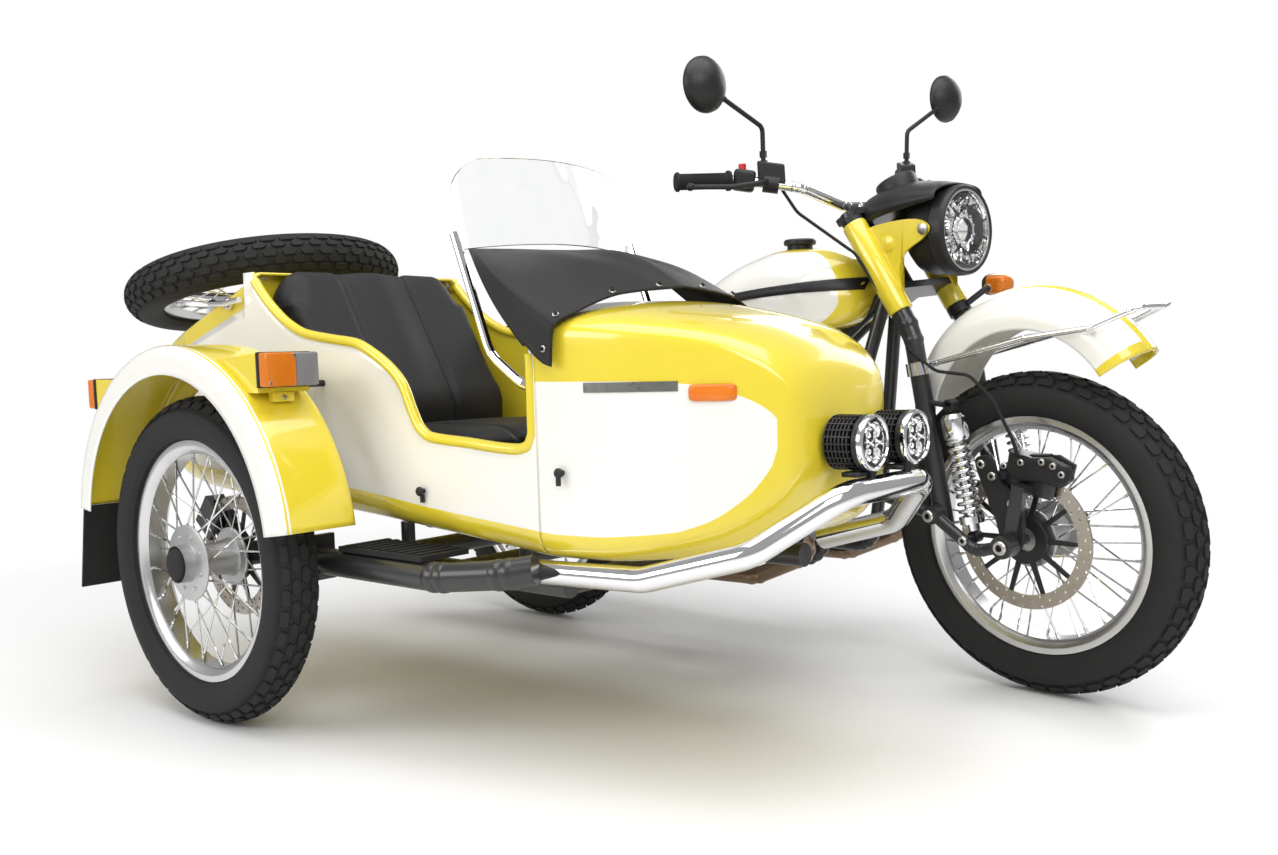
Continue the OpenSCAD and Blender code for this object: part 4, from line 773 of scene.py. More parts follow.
hose_line = [(1475, -88, 520), (1468, -96, 560), (1430, -100, 640), (1380, -104, 690), (1310, -118, 700),
             (1250, -122, 745), (1200, -120, 840), (1130, -135, 960), (1030, -200, 1060), (1012, -240, 1128)]
fit(pipe("brake_hose", rounded(hose_line, 40), 3.6, rubber, 10, TURN), "steering", slot="rubber")

# Wheels. Polished alloy rims laced with forty steel spokes to cast hubs, with block-tread tyres.
# Tread blocks are six-sided and stand on the carcass in five staggered rows.
rim_metal = finish("polished_rim", (0.62, 0.62, 0.62), 0.24, metal=0.95, mottle=0.1, patch=14, swing=0.08)
hub_metal = finish("cast_hub", (0.5, 0.5, 0.5), 0.4, metal=0.9, mottle=0.15, patch=30, swing=0.1, peel=0.15,
                   peel_size=700)
disc_metal = finish("brake_disc", (0.42, 0.38, 0.33), 0.3, metal=1.0, mottle=0.12, patch=40, swing=0.1)
axle_z, core_r, blocks_round, spoke_count = 344, 290, 48, 40


def polar(r, a, h):
    """Place in mm round a wheel's axle, given in metres."""
    return Vector((r / 1000 * math.cos(a), r / 1000 * math.sin(a), h / 1000))


def tyre_piece(name, place):
    def lift(phi):
        if abs(phi) < 58:
            return 48.0
        if abs(phi) < 63:
            return 48.0 + (abs(phi) - 58)
        return 53.0 + (1.0 if 112 < abs(phi) < 118 else 0.0)

    section = [(243, -27.5), (254.8, -28.2)]
    for phi in [-130 + 5 * k for k in range(53)]:
        section.append((core_r + lift(phi) * math.cos(math.radians(phi)), lift(phi) * math.sin(math.radians(phi))))
    section += [(254.8, 28.2), (243, 27.5)]
    carcass = turned(name, section, place, rubber, 96, sharp=40, closed=True)
    verts, faces = [], []
    for phi0, wide, long, cut, shift in ((0, 9.5, 17.5, 6, 0.0), (22, 8.0, 17.0, 6, 0.5), (-22, 8.0, 17.0, 6, 0.5),
                                         (44, 9.5, 18.5, 4, 0.0), (-44, 9.5, 18.5, 4, 0.0)):
        outline = [(-long, 0), (cut - long, -wide), (long - cut, -wide), (long, 0), (long - cut, wide),
                   (cut - long, wide)]
        for spin in around(blocks_round, shift):
            base = len(verts)
            for shrink, height in ((1.0, 46.5), (0.97, 52.6), (0.90, 53.6)):
                for u, v in outline:
                    phi = math.radians(phi0 + v * shrink)
                    verts.append(place @ polar(core_r + height * math.cos(phi), spin + u * shrink / 338,
                                               height * math.sin(phi)))
            for ring in (base, base + 6):
                faces += [(ring + m, ring + (m + 1) % 6, ring + 6 + (m + 1) % 6, ring + 6 + m) for m in range(6)]
            faces.append(tuple(base + 12 + m for m in range(6)))
    return join(name, carcass, new_mesh("tread", verts, faces, rubber))


def drilled_ring(outer, inner, level, place, cells=40, thick=5):
    """Brake disc: three rings of cells, every other one with a drilled hole."""
    made = bmesh.new()
    rings = [inner + (outer - inner) * k / 3 for k in range(4)]

    def both(points):
        return [[made.verts.new(place @ polar(r, t, level + h)) for r, t in points] for h in (thick / 2, -thick / 2)]

    for i in range(3):
        for j in range(cells):
            t0, t1 = 2 * math.pi * j / cells, 2 * math.pi * (j + 1) / cells
            r0, r1, tm, rm = rings[i], rings[i + 1], (t0 + t1) / 2, (rings[i] + rings[i + 1]) / 2
            top, low = both([(r0, t0), (r0, tm), (r0, t1), (rm, t1), (r1, t1), (r1, tm), (r1, t0), (rm, t0)])
            if (j + i) % 2 == 0:
                hole = [(rm - 2.9 * math.sin(b), tm + 2.9 * math.cos(b) / rm)
                        for b in [math.radians(135 - 45 * m) for m in range(8)]]
                top_hole, low_hole = both(hole)
                for m in range(8):
                    n = (m + 1) % 8
                    made.faces.new((top[m], top[n], top_hole[n], top_hole[m]))
                    made.faces.new((low[n], low[m], low_hole[m], low_hole[n]))
                    made.faces.new((top_hole[m], top_hole[n], low_hole[n], low_hole[m]))
            else:
                made.faces.new(top)
                made.faces.new(low[::-1])
            for m in {0: (0, 1), 1: (), 2: (4, 5)}[i]:
                made.faces.new((top[m + 1], top[m], low[m], low[m + 1]))
    mesh = bpy.data.meshes.new("disc")
    made.to_mesh(mesh)
    made.free()
    mesh.materials.append(disc_metal)
    return merged(stood("disc", mesh))


def spokes_of(place):
    """Crossed spokes with their nipples, six-sided."""
    verts, faces = [], []
    for i, a in enumerate(around(spoke_count)):
        side = 1 if i % 2 == 0 else -1
        lean = math.radians(26 if (i // 2) % 2 == 0 else -26)
        row = math.copysign(1.8, lean)
        foot, tip = 1000 * polar(57, a + lean, side * 47.5 + row), 1000 * polar(226, a, side * 9 + row)
        way, long = (tip - foot).normalized(), (tip - foot).length
        across = way.orthogonal().normalized()
        over = way.cross(across)
        base = len(verts)
        for far, r in ((0, 2.0), (long - 17, 2.0), (long - 16.5, 3.3), (long, 3.3)):
            verts += [place @ ((foot + way * far + r * (math.cos(b) * across + math.sin(b) * over)) / 1000)
                      for b in around(6)]
        for ring in (base, base + 6, base + 12):
            faces += [(ring + k, ring + (k + 1) % 6, ring + 6 + (k + 1) % 6, ring + 6 + k) for k in range(6)]
        faces += [tuple(base + k for k in (5, 4, 3, 2, 1, 0)), tuple(base + 18 + k for k in range(6))]
    return new_mesh("spokes", verts, faces, chrome)


def mirrored(half):
    """Closed section: the half that is given, then its image across the wheel's middle plane."""
    return half + [(r, -h) for r, h in reversed(half)]


def wheel_piece(name, place, disc, cap):
    rim_half = [(242.2, 29.2), (253.4, 29.4), (254, 30.2), (254, 32.2), (252.8, 33), (242, 33),
                (238.5, 32.4), (226, 22.8), (224, 20)]
    inner_half = [(228, -18), (229.4, -20.6)]
    rim_section = mirrored(rim_half) + inner_half[::-1] + [(r, -h) for r, h in inner_half]
    hub_half = [(10.2, -62), (26, -62), (28, -60), (36, -52), (40, -51), (60, -51), (62, -49.5), (62, -45.5),
                (60, -44), (42, -44), (38, -38), (34, -10)]
    parts = [turned(name, rim_section, place, rim_metal, 96, closed=True),
             turned("hub", mirrored(hub_half), place, hub_metal, 48, closed=True), spokes_of(place)]
    if disc:
        outer, inner, level = disc
        parts.append(drilled_ring(outer, inner, level, place))
        carrier = [(26, -4), (50, -4), (52, -2.5), (52, 2.5), (50, 4), (26, 4)]
        parts.append(turned("carrier", [(r, level + h) for r, h in carrier], place, satin_black, 40, closed=True))
        for a in around(10):
            arm = [Vector((r * math.cos(a) - w * math.sin(a), r * math.sin(a) + w * math.cos(a), level + h)) / 1000
                   for r, w in ((48, -6), (inner + 3, -4.5), (inner + 3, 4.5), (48, 6)) for h in (-2, 2)]
            sides = [(0, 2, 4, 6), (1, 7, 5, 3), (0, 1, 3, 2), (2, 3, 5, 4), (4, 5, 7, 6), (6, 7, 1, 0)]
            parts.append(new_mesh("arm", [place @ q for q in arm], sides, satin_black))
    if cap:
        cover = [(38, 80), (40, 56), (46, 54.5), (76, 54), (79, 52.5), (79, 50), (58, 49)]
        lid = [(0, 87), (26, 86.5), (32, 84), (35, 79), (35, 70)]
        head = [(0, 57.5), (3.5, 57.5), (4, 56.5), (4, 53)]
        jobs = [("cover", cover, place, hub_metal, 48), ("cap", lid, place, rubber, 40)]
        jobs += [("bolt", head, place @ Matrix.Translation(polar(57, math.radians(45 * k + 20), 0)), bolt_steel, 12)
                 for k in range(8)]
        parts += [turned(word, [(r, cap * h) for r, h in half], at, mat, sides)
                  for word, half, at, mat, sides in jobs]
    return join(name, *parts)


car_mid, side_wheel_y = -712, -1174
upright = Matrix.Rotation(math.radians(-90), 4, "X")
front_place = seat_at((1470, 0, axle_z), -90, "X", TURN)
rear_place = seat_at((0, 0, axle_z), -90)
side_place = seat_at((174, side_wheel_y, axle_z), -90)
spare_place = seat_at((-284, car_mid, 951), -11, "Y") @ upright @ upright
for word, place, body, disc, cap in (("front", front_place, "front_wheel", (148, 118, -65.5), 0),
                                     ("rear", rear_place, "rear_wheel", None, 0),
                                     ("sidecar", side_place, "sidecar_wheel", (128, 100, 65.5), -1),
                                     ("spare", spare_place, "lid", None, 0)):
    fit(tyre_piece(word + "_tyre_blocks", place), body, word + "_tyre", slot="tyre")
    fit(wheel_piece(word + "_wheel_laced", place, disc, cap), body, word + "_rim", slot="wheel_alloy")

# Sidecar chassis. Round steel tube in the frame's black coat, with the trailing arm and damper in the same.
# The step's mat and the mud flap are moulded rubber.
dress(black_paint, "sidecar_frame", "sidecar_suspension", "step_bar", "lid_hinge", "spare_carrier")
dress(rubber, "step_mat", "mud_flap")

# Sidecar body. Pressed steel shell: white flanks, yellow sill, yellow beading along the cockpit's edge.
# The skin is a row of U-shaped stations; each row's points follow the edges of the paint.
tub_table = [[-385, 205, 585], [-372, 228, 545], [-330, 252, 502], [-250, 272, 474], [-100, 287, 456], [60, 295, 450],
             [300, 298, 444], [700, 298, 416], [985, 296, 390]]
rim_line = [[126, 930], [150, 905], [196, 866], [250, 832], [310, 809], [400, 795], [480, 784], [540, 760],
            [590, 730], [622, 700], [648, 650], [668, 618], [700, 600], [800, 592], [930, 583],
            [962, 590], [973, 612]]
sill_line = [[-385, 640], [-330, 556], [-250, 528], [-100, 510], [427, 492], [700, 465], [988, 440]]
lid_end, rim_start, rim_end, hoop_top, sill_r = 86, 126, 973, 950.0, 46.0


def tub_edge(x):
    """Height of the body's upper edge: under the lid, at the hoop, round the cockpit, under the nose."""
    if x <= lid_end:
        return 745 + (x + 385) * 0.272
    if x < rim_start:
        return hoop_top
    return between(rim_line, x, 1) if x <= rim_end else 778.0


def car_row(x, section):
    return [spot(x, car_mid + y, z) for y, z in section]


def tub_row(x):
    half, floor_z, top = between(tub_table, x, 1), between(tub_table, x, 2), tub_edge(x)
    sill = max(between(sill_line, x, 1), floor_z + sill_r + 2)
    side = [(half, top + (sill - top) * k / 12) for k in range(13)] + [(half, floor_z + sill_r)]
    side += [(half - sill_r + sill_r * c, floor_z + sill_r - sill_r * s) for c, s in quarter(8, 1)]
    under = [((half - sill_r) * t, floor_z) for t in (0.5, 0.0, -0.5)]
    return car_row(x, side + under + [(-y, z) for y, z in reversed(side)])


def tub_paint(i, j):
    return 0 if min(j, 45 - j) < 12 else 1


def closed_shell(name, *parts):
    """Welded skins of one pressing, made 6 mm thick."""
    made = merged(join(name, *parts), 1e-5)
    shell = made.modifiers.new("shell", "SOLIDIFY")
    shell.thickness, shell.offset = 0.006, -1
    return made, shell


tub_xs = sorted({-385, -382, -378, -372, -364, -354, -342, *range(-330, 86, 16), 86, 87, 100, 113, 125.9,
                 126, 130, 138, *range(146, 700, 8), *range(700, 973, 12), 968, 971, 973, 973.2, 978, 984.7})
tub_rows = [tub_row(x) for x in tub_xs]
tub = skin("sidecar_shell", tub_rows, (white, yellow, yellow), tub_paint, loop=False, sharp=45)
tail_cap = new_mesh("tail_wall", tub_rows[0], [tuple(range(len(tub_rows[0])))], white)
wall = [(283, 940), (283, 500), (250, 466), (-250, 466), (-283, 500), (-283, 940), (-263, 950), (263, 950)]
bulkhead = new_mesh("bulkhead", car_row(92, wall), [tuple(range(8))], yellow)
hoop_half = [(294, 915), (294, 932), (288, 944), (276, 950)]
hoop_section = hoop_half + [(0, 950)] + [(-y, z) for y, z in reversed(hoop_half)]
hoop = skin("hoop", [car_row(x, hoop_section) for x in (87, 126)], (yellow,), loop=False)
tub, shell = closed_shell("sidecar_shell", tub, tail_cap, bulkhead, hoop)
shell.material_offset = shell.material_offset_rim = 1
fit(tub, "chassis", "sidecar_tub", slot="paint_yellow")
for side, word in both_sides:
    line = []
    for x in [rim_start + (rim_end - rim_start) * k / 160 for k in range(161)]:
        line.append((x, car_mid + side * (between(tub_table, x, 1) - 5), between(rim_line, x, 1)))
    line += [(rim_end, car_mid + side * 291, z) for z in range(622, 753, 10)]
    fit(pipe("rim_bead_" + word, line, 11, yellow, 12), "chassis", slot="paint_yellow")

# Sidecar nose. Deep-drawn steel in yellow, with the white flank running out to a point near the front.
# Its rows follow the flank's two painted edges, as the body's do.
nose_table = [[985, 296, 390, 782, 845], [1100, 285, 391, 776, 840], [1200, 259, 398, 768, 824],
              [1300, 219, 414, 752, 798], [1360, 188, 440, 728, 768], [1400, 160, 474, 696, 736],
              [1420, 140, 506, 664, 702], [1432, 104, 545, 620, 648], [1437, 60, 568, 604, 622],
              [1439, 20, 586, 600, 606]]
low_line = [[985, 440], [1105, 432], [1200, 440], [1290, 465], [1350, 505], [1390, 560], [1405, 612], [1439, 596]]
high_line = [[985, 703], [1200, 700], [1300, 690], [1360, 668], [1395, 640], [1405, 614], [1439, 598]]


def nose_row(x):
    half, floor_z, shoulder, crown = (between(nose_table, x, c) for c in (1, 2, 3, 4))
    r = min(sill_r, half * 0.5, (shoulder - floor_z) * 0.45)
    low = min(max(between(low_line, x, 1), floor_z + r + 1), shoulder - 3)
    high = min(max(between(high_line, x, 1), low + 0.5), shoulder - 1)
    side = [(0, floor_z), ((half - r) * 0.5, floor_z)]
    side += [(half - r + r * s, floor_z + r - r * c) for c, s in quarter(8)]
    side += [(half, floor_z + r + (low - floor_z - r) * k / 3) for k in (1, 2, 3)]
    side += [(half, low + (high - low) * k / 8) for k in range(1, 9)]
    side += [(half, high + (shoulder - high) * k / 4) for k in range(1, 4)]
    side += [((half - 10 + 10 * c) * c, shoulder + (crown - shoulder) * s**0.8) for c, s in quarter(16)]
    return car_row(x, side + [(-y, z) for y, z in reversed(side[1:-1])])


def nose_paint(i, j):
    side = min(j, len(nose_rows[0]) - 1 - j)
    return 1 if 13 <= side < 21 and nose_xs[i + 1] < 1404 else 0


nose_xs = [985.3 + (1432 - 985.3) * k / 64 for k in range(65)] + [1434, 1436, 1437.5, 1439]
nose_rows = [nose_row(x) for x in nose_xs]
nose = skin("nose_shell", nose_rows, (yellow, white), nose_paint, sharp=60)
tip = new_mesh("nose_tip", nose_rows[-1], [tuple(range(len(nose_rows[-1])))], yellow)
fit(closed_shell("nose_shell", nose, tip)[0], "chassis", "sidecar_nose", slot="paint_yellow")

# Passenger's seat. Dark grey grained vinyl over foam: a back in three upright panels and a thick cushion.
# Each cover is puffed as cloth under slight pressure and kept near the foam; its seams are pressed in first.
seat_vinyl = finish("dark_grey_vinyl", (0.022, 0.022, 0.024), 0.5, mottle=0.18, patch=30, swing=0.07, peel=0.3,
                    peel_size=900, shine=0.2)
vinyl = finish("black_vinyl", (0.017, 0.0165, 0.016), 0.46, mottle=0.2, patch=30, swing=0.07, peel=0.3, peel_size=900,
               shine=0.2)


def shown(made):
    """Mesh as the piece's modifiers leave it at this moment."""
    return bpy.data.meshes.new_from_object(made.evaluated_get(bpy.context.evaluated_depsgraph_get()))


def remeshed(made, size, rounds):
    """Even quads of the given size over a solid, with its edges eased."""
    even = made.modifiers.new("even", "REMESH")
    even.mode = "VOXEL"
    even.voxel_size = size / 1000
    mesh, mats = shown(made), list(made.data.materials)
    made.modifiers.remove(even)
    made.data = mesh
    mesh.materials.clear()
    for mat in mats:
        mesh.materials.append(mat)
    soft = bmesh.new()
    soft.from_mesh(mesh)
    for _ in range(rounds):
        bmesh.ops.smooth_vert(soft, verts=soft.verts, factor=0.5, use_axis_x=True, use_axis_y=True, use_axis_z=True)
    soft.to_mesh(mesh)
    soft.free()
    return smooth(made)


def puffed(made, cap):
    """Cover blown out like cloth for a moment, each point kept within cap mm of the foam."""
    rest = [v.co.copy() for v in made.data.vertices]
    cover = made.modifiers.new("cover", "CLOTH")
    cover.settings.use_pressure = True
    cover.settings.uniform_pressure_force = 4.0
    cover.settings.effector_weights.gravity = 0.0
    cover.settings.quality = 5
    cover.settings.tension_stiffness = cover.settings.compression_stiffness = 20
    cover.point_cache.frame_start, cover.point_cache.frame_end = 1, 20
    for step in range(1, 21):
        bpy.context.scene.frame_set(step)
    blown = shown(made)
    made.modifiers.remove(cover)
    for v, a, b in zip(made.data.vertices, rest, blown.vertices):
        shift = b.co - a
        v.co = a + shift * min(1.0, cap / 1000 / max(shift.length, 1e-9))
    bpy.data.meshes.remove(blown)
    bpy.context.scene.frame_set(1)
    return made


def prism(name, profile, half, mat):
    """Side profile (x, z) in mm carried across the seat."""
    n = len(profile)
    verts = [spot(x, car_mid + s * half, z) for s in (1, -1) for x, z in profile]
    faces = [tuple(range(n)), tuple(range(2 * n - 1, n - 1, -1))]
    faces += [(i, n + i, n + (i + 1) % n, (i + 1) % n) for i in range(n)]
    return merged(new_mesh(name, verts, faces, mat))


def seams(across, places, wide):
    """Depth share of stitched seams at the given places."""
    return sum(math.exp(-((across - seam) / wide) ** 2) for seam in places)


back_profile = [(110, 936), (118, 953), (146, 956), (162, 940), (322, 668), (329, 640), (329, 562), (242, 562)]
back = remeshed(prism("seat_back_cover", back_profile, 252, seat_vinyl), 6, 8)
back_up = Vector((150 - 330, 0, 940 - 640)).normalized()
back_out = Vector((back_up.z, 0, -back_up.x))
back_foot, panel = spot(330, car_mid, 640), 96
for v in back.data.vertices:
    rel = v.co - back_foot
    across, rise, out = rel.y * 1000, rel.dot(back_up) * 1000, rel.dot(back_out) * 1000
    corner = max(0.0, abs(across) - 190) / 62
    if rise > 270:
        v.co.z -= 0.050 * corner**2 * min(1.0, (rise - 270) / 70)
    if out > -30:
        swell = math.cos(across / panel * math.pi / 2) ** 2 if abs(across) < panel else 0.5
        v.co += back_out * (0.010 * swell - 0.007 * seams(across, (-panel, panel), 7.0))
fit(puffed(back, 6), "chassis", "seat_back", slot="vinyl")
cushion_profile = [(330, 456), (330, 590), (345, 600), (740, 604), (768, 590), (770, 456)]
cushion = remeshed(prism("seat_cushion_cover", cushion_profile, 250, vinyl), 7, 8)
for v in cushion.data.vertices:
    rel = v.co - spot(550, car_mid, 600)
    if rel.z > -0.02:
        dome = [math.cos(min(1.0, abs(d) / reach) * math.pi / 2) for d, reach in ((rel.x, 0.22), (rel.y, 0.25))]
        v.co.z += 0.008 * dome[0] * dome[1] - 0.005 * seams(rel.y * 1000, (-120, 120), 7.0)
fit(puffed(cushion, 6), "chassis", "seat_cushion", slot="vinyl")

# Saddle. Black grained vinyl over sprung foam, with two stitched cross seams.
# Its cover is a copy of the solid, puffed in the same way.
saddle_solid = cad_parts["saddle"]
saddle = stood("saddle_cover", saddle_solid.data.copy())
saddle.matrix_world = saddle_solid.matrix_world.copy()
saddle.data.materials.clear()
saddle.data.materials.append(vinyl)
remeshed(saddle, 6, 6)
saddle_low, saddle_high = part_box("saddle")
for v in saddle.data.vertices:
    along, rise = ((v.co[k] - saddle_low[k]) / (saddle_high[k] - saddle_low[k]) for k in (0, 2))
    if rise > 0.4:
        v.co.z -= 0.004 * seams(along, (0.36, 0.68), 0.012)
fit(puffed(saddle, 5), "chassis", "saddle", slot="vinyl")

# Screen and posts. Clear acrylic sheet, heat-bent to a shallow curve.
# Bent chromed tubes hold it at its sides.
dress(acrylic, "windshield")
dress(chrome, "windshield_frame")

# Weather apron. Coated black cloth from the screen's foot over the hood, its tips pulled down and buttoned outside.
# It hangs between its sewn edges, with shallow folds running to the buttons.
apron_half = [[0, 0, 863], [0.5, 160, 849], [0.8, 262, 816], [0.96, 299, 792], [1, 303, 700]]


def apron_point(c, t):
    """Place in mm: c across from -1 to 1, t from the screen's foot to the lower edge."""
    side = 1 if c >= 0 else -1
    tip, crown = max(0.0, abs(c) - 0.8) / 0.2, 1 - c * c
    half, edge_z = (between(apron_half, abs(c), col) for col in (1, 2))
    top = Vector((766 + 60 * crown, car_mid + c * 239.5, 950))
    low = Vector((1040 + 50 * crown, car_mid + side * (half + 5 * tip + 1), edge_z + 2))
    hang = max(0.0, (abs(c) - 0.96) / 0.04)
    fold = math.sin(9 * c + 5 * t) * 2.5 + math.sin(17 * c - 7 * t) * 1.6
    swell = Vector((0, 20 * side * tip, 26 * crown + fold * (1 - 0.6 * c * c)))
    p = top + (low - top) * t + math.sin(math.pi * t) * swell
    if hang > 0.55 and t > 0.75:
        p.z += 26 * ((hang - 0.55) / 0.45) ** 2 * (0.3 + 0.7 * ((t - 0.75) / 0.25) ** 3)
    return p


apron_cs = sorted([0.96 * k / 35 for k in range(-35, 36)]
                  + [s * (0.96 + 0.004 * k) for s in (1, -1) for k in range(1, 11)])
apron_rows = [[spot(*apron_point(c, k / 36)) for c in apron_cs] for k in range(37)]
apron = skin("apron_cloth", apron_rows, (vinyl,), loop=False, thick=2.5)
fit(apron, "chassis", "apron", slot="vinyl")

# Apron fasteners. Black turn buttons through bright eyelets.
# They stand along the apron's lower edge.
buttons = []
for c, t in ((-0.985, 0.93), (-0.9, 0.95), (-0.55, 0.965), (-0.2, 0.965), (0.2, 0.965), (0.55, 0.965), (0.9, 0.95),
             (0.985, 0.93)):
    p, q, r = apron_point(c, t), apron_point(c + 0.01, t), apron_point(c, t - 0.03)
    way = (q - p).cross(r - p).normalized()
    buttons += [bolt(p + way * 2, way, 6, bolt_steel), bolt(p + way * 4, way, 4, satin_black, high=1.6)]
fit(join("apron_buttons", *buttons), "chassis", slot="black_plastic")

# Nose bumper. One chromed tube bent round the nose.
# It is clamped to the sidecar's chassis at both ends.
bumper_line = [(930, -994, 364), (1200, -986, 372), (1390, -947, 424), (1500, -842, 515), (1500, -582, 515),
               (1390, -477, 424), (1215, -450, 374)]
fit(pipe("bumper_tube", rounded(bumper_line, 75, 6), 22, chrome, 28), "chassis", "bumper", slot="chrome")

# Driving lamps. Finned black die-cast housings, chromed bezels and clustered reflectors under clear glass.
# A post and a yoke hold each one on the bumper.
web_corners = [(r, h, s * b) for s in (-1, 1)
               for r, h, b in ((38, 6, 0.03), (45.6, 6, 0.025), (45.6, 54, 0.025), (38, 54, 0.03))]
for side, word in ((-1, "right"), (1, "left")):
    lamp_y = -700 + 71 * side
    seat = seat_at((1440, lamp_y, 592), 90, "Y")
    fins = [(0, 2), (30, 2)]
    for k in range(7):
        fins += [(34, 4 + 7 * k), (45, 4.4 + 7 * k), (45, 7 + 7 * k), (34, 7.4 + 7 * k)]
    parts = [turned("lamp_body", fins + [(44, 55), (46, 57), (46, 70), (44, 75), (41, 75)], seat, satin_black, 48),
             turned("lamp_bezel", [(46, 66), (46.5, 72), (45, 75.5), (41, 76), (38.5, 72)], seat, chrome, 48),
             turned("lamp_dish", [(40, 72), (36, 66), (12, 58), (0, 57)], seat, reflector, 48)]
    for a in around(4, 0.5):
        parts.append(turned("cell", [(16, 71), (12, 64), (5, 60), (4, 62), (0, 63)],
                            seat @ Matrix.Translation(polar(19, a, 0)), reflector, 24))
    parts.append(turned("lamp_glass", [(40.5, 72), (39, 73.5), (0, 74.5)], seat, acrylic, 48))
    for a in around(24):
        parts.append(new_mesh("web", [seat @ polar(r, a + b, h) for r, h, b in web_corners],
                              [(0, 1, 2, 3), (7, 6, 5, 4), (1, 5, 6, 2), (0, 4, 5, 1), (3, 2, 6, 7)], satin_black))
    yoke_rows = [[spot(x, lamp_y + y, z) for x, z in ((1470, 546), (1500, 546), (1500, 538), (1470, 538))]
                 for y in (-30, 30)]
    parts.append(skin("lamp_yoke", yoke_rows, (satin_black,), caps=True))
    post_y = -700 + 59 * side
    parts.append(pipe("lamp_post", [(1500, post_y, 536), (1500, post_y, 552)], 8, satin_black, 20))
    fit(join("driving_lamp_" + word, *parts), "chassis", "fog_lamps", slot="black_plastic")

# Sidecar guard. Pressed steel over the wheel: yellow crown, white outer band with a fine yellow line.
# Two black stays bolt it to the body.
guard_x, guard_z, guard_r = 170, 385, 408
side_rows = guard_rows((guard_x, side_wheel_y, guard_z), guard_r, 88, 60, 22, 7, 172, 110)


def side_paint(i, j):
    return 1 if j < 12 and j != 10 else 0


side_guard = skin("sidecar_guard", side_rows, (yellow, white), side_paint, loop=False, thick=3)
fit(side_guard, "chassis", "sidecar_fender", slot="paint_yellow")
for k, a in enumerate((math.radians(58), math.radians(120))):
    x, z = guard_x + 378 * math.cos(a), guard_z + 378 * math.sin(a)
    ends = [(x, side_wheel_y + 86.5, z), (x, car_mid - between(tub_table, x, 1) - 0.4, z)]
    fit(pipe("guard_stay_%d" % k, ends, 7, satin_black, 14), "chassis", slot="black_metal")

# Guard lamps. Moulded boxes in a black gasket on yellow wedge brackets.
# Orange outside and clear inside at the front; orange outside and red inside at the rear.
clear_lens = lens("clear_lens", (0.4, 0.4, 0.41), 0.12, 0.5)


def wedge(back, tip, low, high):
    """Bracket from a lamp's back to the guard's crown: (x, z) profile carried across in y."""
    profile = [(back, high), (back, low)]
    for k in range(17):
        x = tip + (back - tip) * (1 - k / 16)
        crown = guard_z + math.sqrt((guard_r + 0.4) ** 2 - (x - guard_x) ** 2)
        profile.append((x, min(high - 0.2, max(low, crown))))
    rows = [[spot(x, y, z) for x, z in profile] for y in (-1229, -1116)]
    return skin("bracket", rows, (yellow,), caps=True, sharp=30)


def bright_box(name, xs, ys, zs, mat, ease=3):
    """Moulded box between two x, two y and two z, with soft shading."""
    return smooth(box_of(name, [(x, y, z) for x in xs for y in ys for z in zs], mat, ease), 30)


front_parts = [wedge(472, 333, 694, 768),
               bright_box("gasket", (470, 480), (-1232, -1113), (703, 771), rubber),
               bright_box("lens_orange", (479, 508), (-1231, -1166), (705, 769.5), orange_lens, 4),
               bright_box("lens_clear", (479, 506), (-1165, -1114), (705, 769.5), clear_lens, 4),
               bright_box("tab", (452, 472), (-1196, -1150), (676, 696), yellow, 1),
               bolt((472, -1173, 684), (1, 0, 0.4), 5, bolt_steel),
               bolt((508, -1225, 711), (1, 0, 0), 3.5, bolt_steel),
               bolt((508, -1172, 764), (1, 0, 0), 3.5, bolt_steel)]
fit(join("guard_lamp_front", *front_parts), "chassis", "sidecar_lamps", slot="lens")
rear_parts = [wedge(-177, -58, 650, 726),
              bright_box("gasket", (-185, -175), (-1232, -1113), (659, 727), rubber),
              bright_box("lens_orange", (-213, -184), (-1231, -1173), (661, 725.5), orange_lens, 4),
              bright_box("lens_red", (-211, -184), (-1172, -1114), (661, 725.5), red_lens, 4)]
fit(join("guard_lamp_rear", *rear_parts), "chassis", "sidecar_lamps", slot="lens")

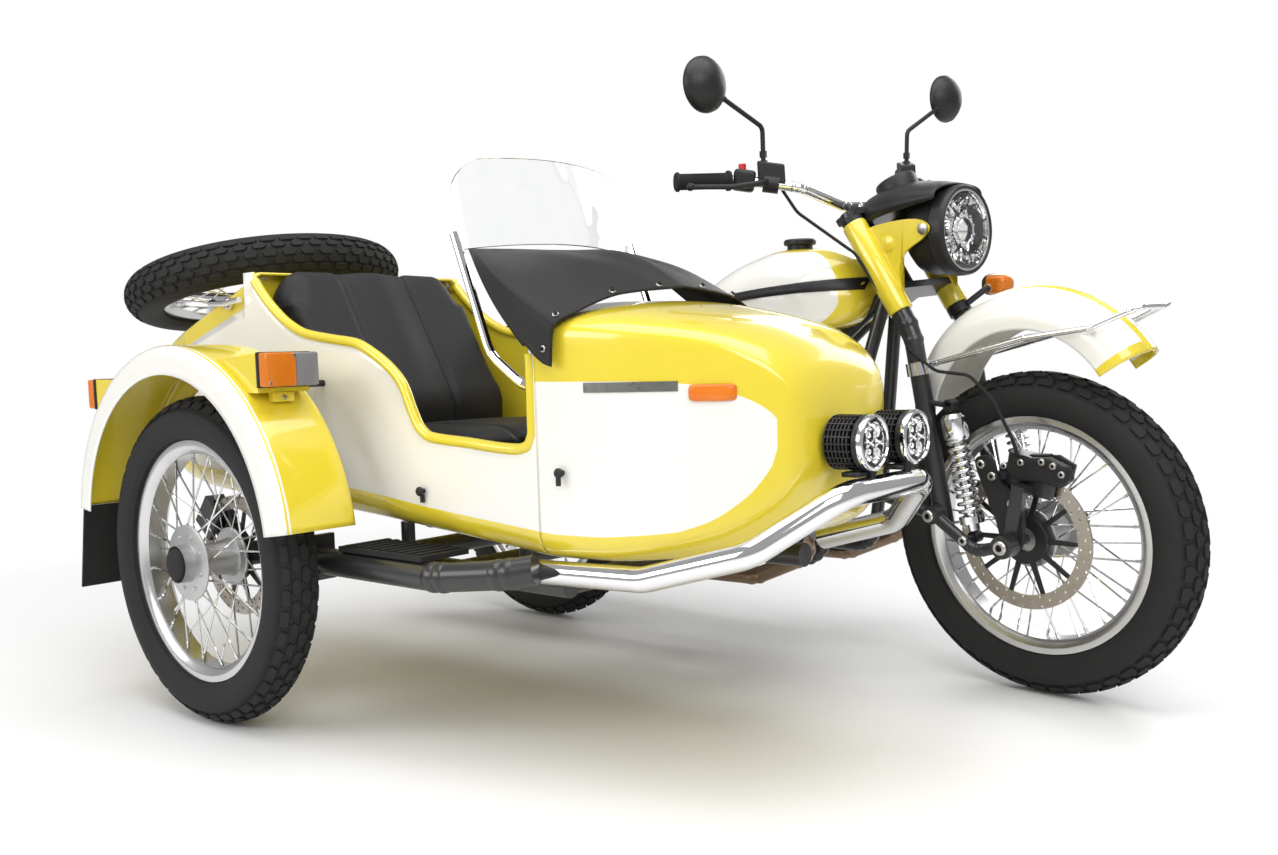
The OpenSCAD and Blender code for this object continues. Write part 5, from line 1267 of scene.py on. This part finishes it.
# Side marker. A flat orange lens low on the nose's flank.
# It is moulded in one piece and follows the flank's curve.
def flank(x, z, out):
    """Place on the nose's right flank, out mm proud of it."""
    return spot(x, car_mid - between(nose_table, x, 1) - out, z)


marker_rows = []
for out, grow in ((0.4, 0), (4, 0), (7, -2), (9, -6)):
    edge = [squared(a, 35 + grow, 14 + grow, 0.35) for a in around(40)]
    marker_rows.append([flank(1310 + x, 680 + z, out) for x, z in edge])
marker = skin("side_marker", marker_rows, (orange_lens,), caps=True, sharp=50)
fit(marker, "chassis", "sidecar_lamps", slot="lens")

# Small flank fittings. A blank brushed nameplate, two black buttons on short stems, and the boot's latch.
# The latch is a bent chromed bar on a turned foot.
dark_badge = finish("brushed_nameplate", (0.24, 0.24, 0.23), 0.3, metal=0.9, mottle=0.2, patch=60, swing=0.1)
badge_rows = [[flank(x, z, out) for z, out in ((683, 0.2), (683.5, 2.2), (699.5, 2.2), (700, 0.2))]
              for x in [1093 + 164 * k / 16 for k in range(17)]]
fit(skin("blank_nameplate", badge_rows, (dark_badge,), caps=True, sharp=30), "chassis", slot="alloy")
for k, (x, z, half) in enumerate(((678, 497, 298), (1042, 546, between(nose_table, 1042, 1)))):
    knob = turned("knob", [(0, 16), (7, 15.5), (9, 13), (9, 9), (5, 7), (5, 0.3), (0, 0.3)],
                  seat_at((x, car_mid - half, z), 90), satin_black, 24)
    stem = bright_box("stem", (x - 4, x + 4), (car_mid - 306, car_mid - 300), (z - 22, z - 6), satin_black, 1)
    fit(join("flank_button_%d" % k, knob, stem), "chassis", slot="black_plastic")
latch_line = rounded([(-44, -1003, 893), (-40, -1019, 890), (30, -1024, 886), (84, -1019, 892)], 10)
latch_foot = turned("latch_foot", [(0, 14), (10, 13), (13, 8), (13, 0.4), (0, 0.4)], seat_at((26, -1006.5, 886), 90),
                    chrome, 28)
fit(join("boot_latch", pipe("latch_bar", latch_line, 6.5, chrome, 16), latch_foot), "chassis", slot="chrome")

# Boot lid. Pressed steel in yellow enamel, hinged at its rear edge.
# It carries the spare wheel on top.
dress(yellow, "boot_lid")

# The view layer brought up to date at the end.
bpy.context.view_layer.update()
